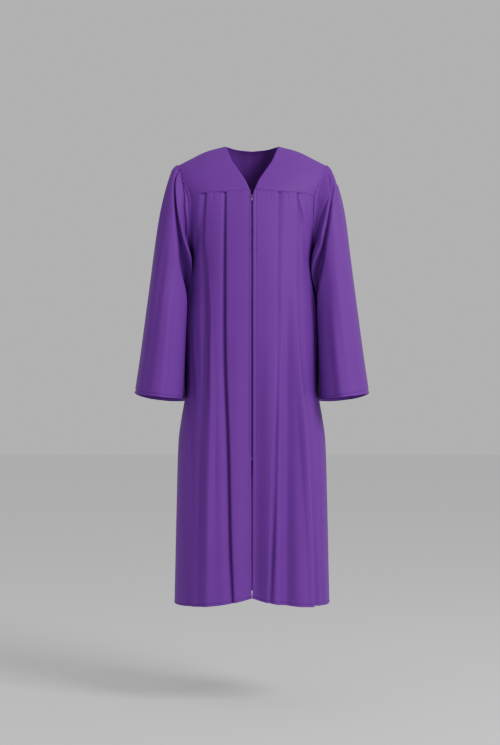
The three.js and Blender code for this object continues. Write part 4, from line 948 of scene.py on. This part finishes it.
thread = thread_material()
hem_rows = []
for sign, grid, rows in (
    (-1, fronts["right"], front_rows), (1, fronts["left"], front_rows), (1, back_grid, back_rows),
):  # fmt: skip
    at = int(np.argmin([abs(HEM - edge - HEM_STITCH) for _, edge in rows]))
    hem_rows.append(face_row(grid * (sign, 1, 1), at, CORE))
stitched("hem_stitching", hem_rows, thread)

ZIP_SEWN = (124, 800)  # between which drops the fronts are stitched down beside the zip
BESIDE_ZIP = 24  # points of a row that lie beside the zip
zip_rows = []
for (name, out), sign in zip(ZIP_STITCH.items(), (-1, 1)):
    line = []
    for row, (centre, _) in zip(fronts[name], front_rows):
        if ZIP_SEWN[0] < centre < ZIP_SEWN[1]:
            x, y, z = row[:BESIDE_ZIP].T
            line.append((out, np.interp(out, x, y) - CLOTH_WALL / 2, np.interp(out, x, z)))
    forward = np.tile((0.0, -1.0, 0.0), (len(line), 1))
    zip_rows.append((np.array(line) * (sign, 1, 1), forward))
stitched("zip_stitching", zip_rows, thread)

for name, grid in sleeve_grids.items():
    at = len(grid) - len(ways) + int(np.argmin(np.abs(up - CUFF_STITCH)))
    closed = np.concatenate([grid, grid[:, :1]], axis=1)
    stitched("cuff_stitching_" + name, [face_row(closed, at, closed[at].mean(0))], thread)

# ---- Zip ----
# A nylon coil zip on woven polyester tapes is sewn behind the folded edges of the fronts. Its painted slider
# hangs at the top with the pull down, and a metal stop closes it at the bottom.


def tape_cloth():
    shader = Shader("zip tape")
    place = shader.node("ShaderNodeTexCoord", None, None, "Object")
    grain = shader.noise(place, 900.0, 2.0)
    colour = shader.mix(grain, (0.02, 0.006, 0.05, 1), (0.03, 0.009, 0.07, 1))
    bump = shader.node("ShaderNodeBump", None, {"Strength": 0.3, "Distance": 0.0002, "Height": grain})
    return shader.surface({"Base Color": colour, "Roughness": 0.85, "Normal": bump})


def painted_metal(name, dark, light, metallic):
    shader = Shader(name)
    place = shader.node("ShaderNodeTexCoord", None, None, "Object")
    grain = shader.noise(place, 700.0, 3.0)
    colour = shader.mix(grain, dark, light)
    return shader.surface({"Base Color": colour, "Metallic": metallic, "Roughness": 0.3 + grain * 0.15})


def coil_nylon():
    shader = Shader("zip coil")
    place = shader.node("ShaderNodeTexCoord", None, None, "Object")
    grain = shader.noise(place, 500.0, 2.0)
    # Its near-black purple is the coil's own dark dye with painted shade of the narrow gap between the
    # fronts.
    colour = shader.mix(grain, (0.03, 0.005, 0.075, 1), (0.045, 0.009, 0.1, 1))
    return shader.surface({"Base Color": colour, "Roughness": 0.6, "Specular IOR Level": 0.08})


tape_material, coil_material = tape_cloth(), coil_nylon()
painted = painted_metal("painted zip metal", (0.05, 0.012, 0.12, 1), (0.08, 0.02, 0.17, 1), 0.0)
# The pull is a lighter lilac than the slider: its own lighter metal with a painted highlight in its colour.
pull_metal_and_highlight = painted_metal("zip pull metal and painted highlight", (0.11, 0.05, 0.22, 1), (0.2, 0.12, 0.34, 1), 0.1)
for node, material in (
    ("zip_tape_right", tape_material), ("zip_tape_left", tape_material), ("zip_chain", coil_material),
    ("zip_stop", painted), ("zip_slider", painted), ("zip_pull", pull_metal_and_highlight),
):  # fmt: skip
    thing = bpy.data.objects[node]
    thing.data.materials.clear()
    thing.data.materials.append(material)

# The teeth are one nylon coil on each tape, whose loops take turns across the middle.
TOOTH_PITCH = 0.0015  # metres, as all sizes from here on
LOOP_OUT = 0.0006  # from the middle of the zip to the middle of a loop
LOOP_FORWARD = 0.0002  # in front of the chain's face
FIRST_LOOP = 0.001  # below the top of the chain
chain = np.array([tuple(v.co) for v in bpy.data.objects["zip_chain"].data.vertices])
levels = np.unique(np.round(chain[:, 2], 5))
faces_at = np.array([chain[np.abs(chain[:, 2] - level) < 2e-5, 1].min() for level in levels])
bpy.ops.object.select_all(action="DESELECT")
for side, lower in ((-1, 0), (1, TOOTH_PITCH / 2)):
    bpy.ops.mesh.primitive_cylinder_add(
        vertices=8, radius=0.0003, depth=0.0019,
        rotation=(0, math.pi / 2, 0), location=(side * LOOP_OUT, 0, -lower),
    )  # fmt: skip
    loop = bpy.context.object
    bpy.ops.object.transform_apply(location=True, rotation=True, scale=True)
    if side == -1:
        first = loop
first.select_set(True)
loop.select_set(True)
bpy.context.view_layer.objects.active = first
bpy.ops.object.join()
teeth = bpy.context.object
teeth.name = "zip_teeth"
count = int((levels[-1] - levels[0]) / TOOTH_PITCH) - 2
array = teeth.modifiers.new("row", "ARRAY")
array.use_relative_offset = False
array.use_constant_offset = True
array.constant_offset_displace = (0, 0, -TOOTH_PITCH)
array.count = count
bpy.ops.object.modifier_apply(modifier="row")
for vertex in teeth.data.vertices:
    vertex.co.z += levels[-1] - FIRST_LOOP
    vertex.co.y += float(np.interp(vertex.co.z, levels, faces_at)) - LOOP_FORWARD
teeth.data.materials.append(coil_material)
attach(teeth, "robe")

# ---- Neck hook ----
# A small wire hook, painted like the slider, is sewn inside the neck edge of the wearer's right yoke. It
# holds the top of the opening together above the zip.
WIRE = 0.00032  # radius of the hook's wire
bpy.ops.object.select_all(action="DESELECT")
bpy.ops.mesh.primitive_torus_add(
    major_radius=0.0011, minor_radius=WIRE, major_segments=20, minor_segments=8,
    location=(-0.0023, -0.0988, -0.1212), rotation=(math.pi / 2, 0, 0),
)  # fmt: skip
bend = bpy.context.object
bpy.ops.object.transform_apply(location=True, rotation=True, scale=True)
bpy.ops.mesh.primitive_cylinder_add(
    vertices=10, radius=WIRE, depth=0.0062,
    location=(-0.0056, -0.0985, -0.1203), rotation=(0, math.pi / 2, 0),
)  # fmt: skip
shank = bpy.context.object
bpy.ops.object.transform_apply(location=True, rotation=True, scale=True)
bend.select_set(True)
shank.select_set(True)
bpy.context.view_layer.objects.active = bend
bpy.ops.object.join()
hook = bpy.context.object
hook.name = "neck_hook"
bpy.ops.object.shade_smooth()
hook.data.materials.append(painted)
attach(hook, "robe")

# ---- Floor, light and camera ----
# The gown hangs as if worn, over a pale floor. One large soft lamp stands high up at the wearer's left, and
# even light comes from all round.
FLOOR_DROP = 1.43
floor_shader = Shader("pale floor")
floor_place = floor_shader.node("ShaderNodeTexCoord", None, None, "Object")
floor_tone = floor_shader.noise(floor_place, 3.0, 2.0)
floor_colour = floor_shader.mix(floor_tone, (0.86, 0.86, 0.86, 1), (0.9, 0.9, 0.9, 1))
floor_material = floor_shader.surface({"Base Color": floor_colour, "Roughness": 0.9})
bpy.ops.mesh.primitive_plane_add(size=30, location=(0, 0, -FLOOR_DROP))
floor = bpy.context.object
floor.name = "floor"
floor.data.materials.append(floor_material)

world = bpy.data.worlds.new("studio")
bpy.context.scene.world = world
world.use_nodes = True
world.node_tree.nodes["Background"].inputs["Color"].default_value = (1, 1, 1, 1)
world.node_tree.nodes["Background"].inputs["Strength"].default_value = 0.6


def lamp(name, place, target, size, power):
    data = bpy.data.lights.new(name, "AREA")
    data.shape = "RECTANGLE"
    data.size, data.size_y = size
    data.energy = power
    thing = bpy.data.objects.new(name, data)
    thing.location = place
    way = np.array(target) - np.array(place)
    flat = math.hypot(way[0], way[1])
    thing.rotation_euler = (math.atan2(flat, -way[2]), 0, math.atan2(way[1], way[0]) - math.pi / 2)
    bpy.context.scene.collection.objects.link(thing)


lamp("key", (2.5, -2.5, 1.9), (0, 0, -0.5), (1.5, 1.8), 138)

camera = bpy.data.cameras.new("camera")
camera.lens = 93.6
camera.sensor_width = 36
camera_thing = bpy.data.objects.new("camera", camera)
camera_thing.location = (-0.005, -5.0, -0.583)
camera_thing.rotation_euler = (math.pi / 2, 0, 0)
bpy.context.scene.collection.objects.link(camera_thing)
bpy.context.scene.camera = camera_thing
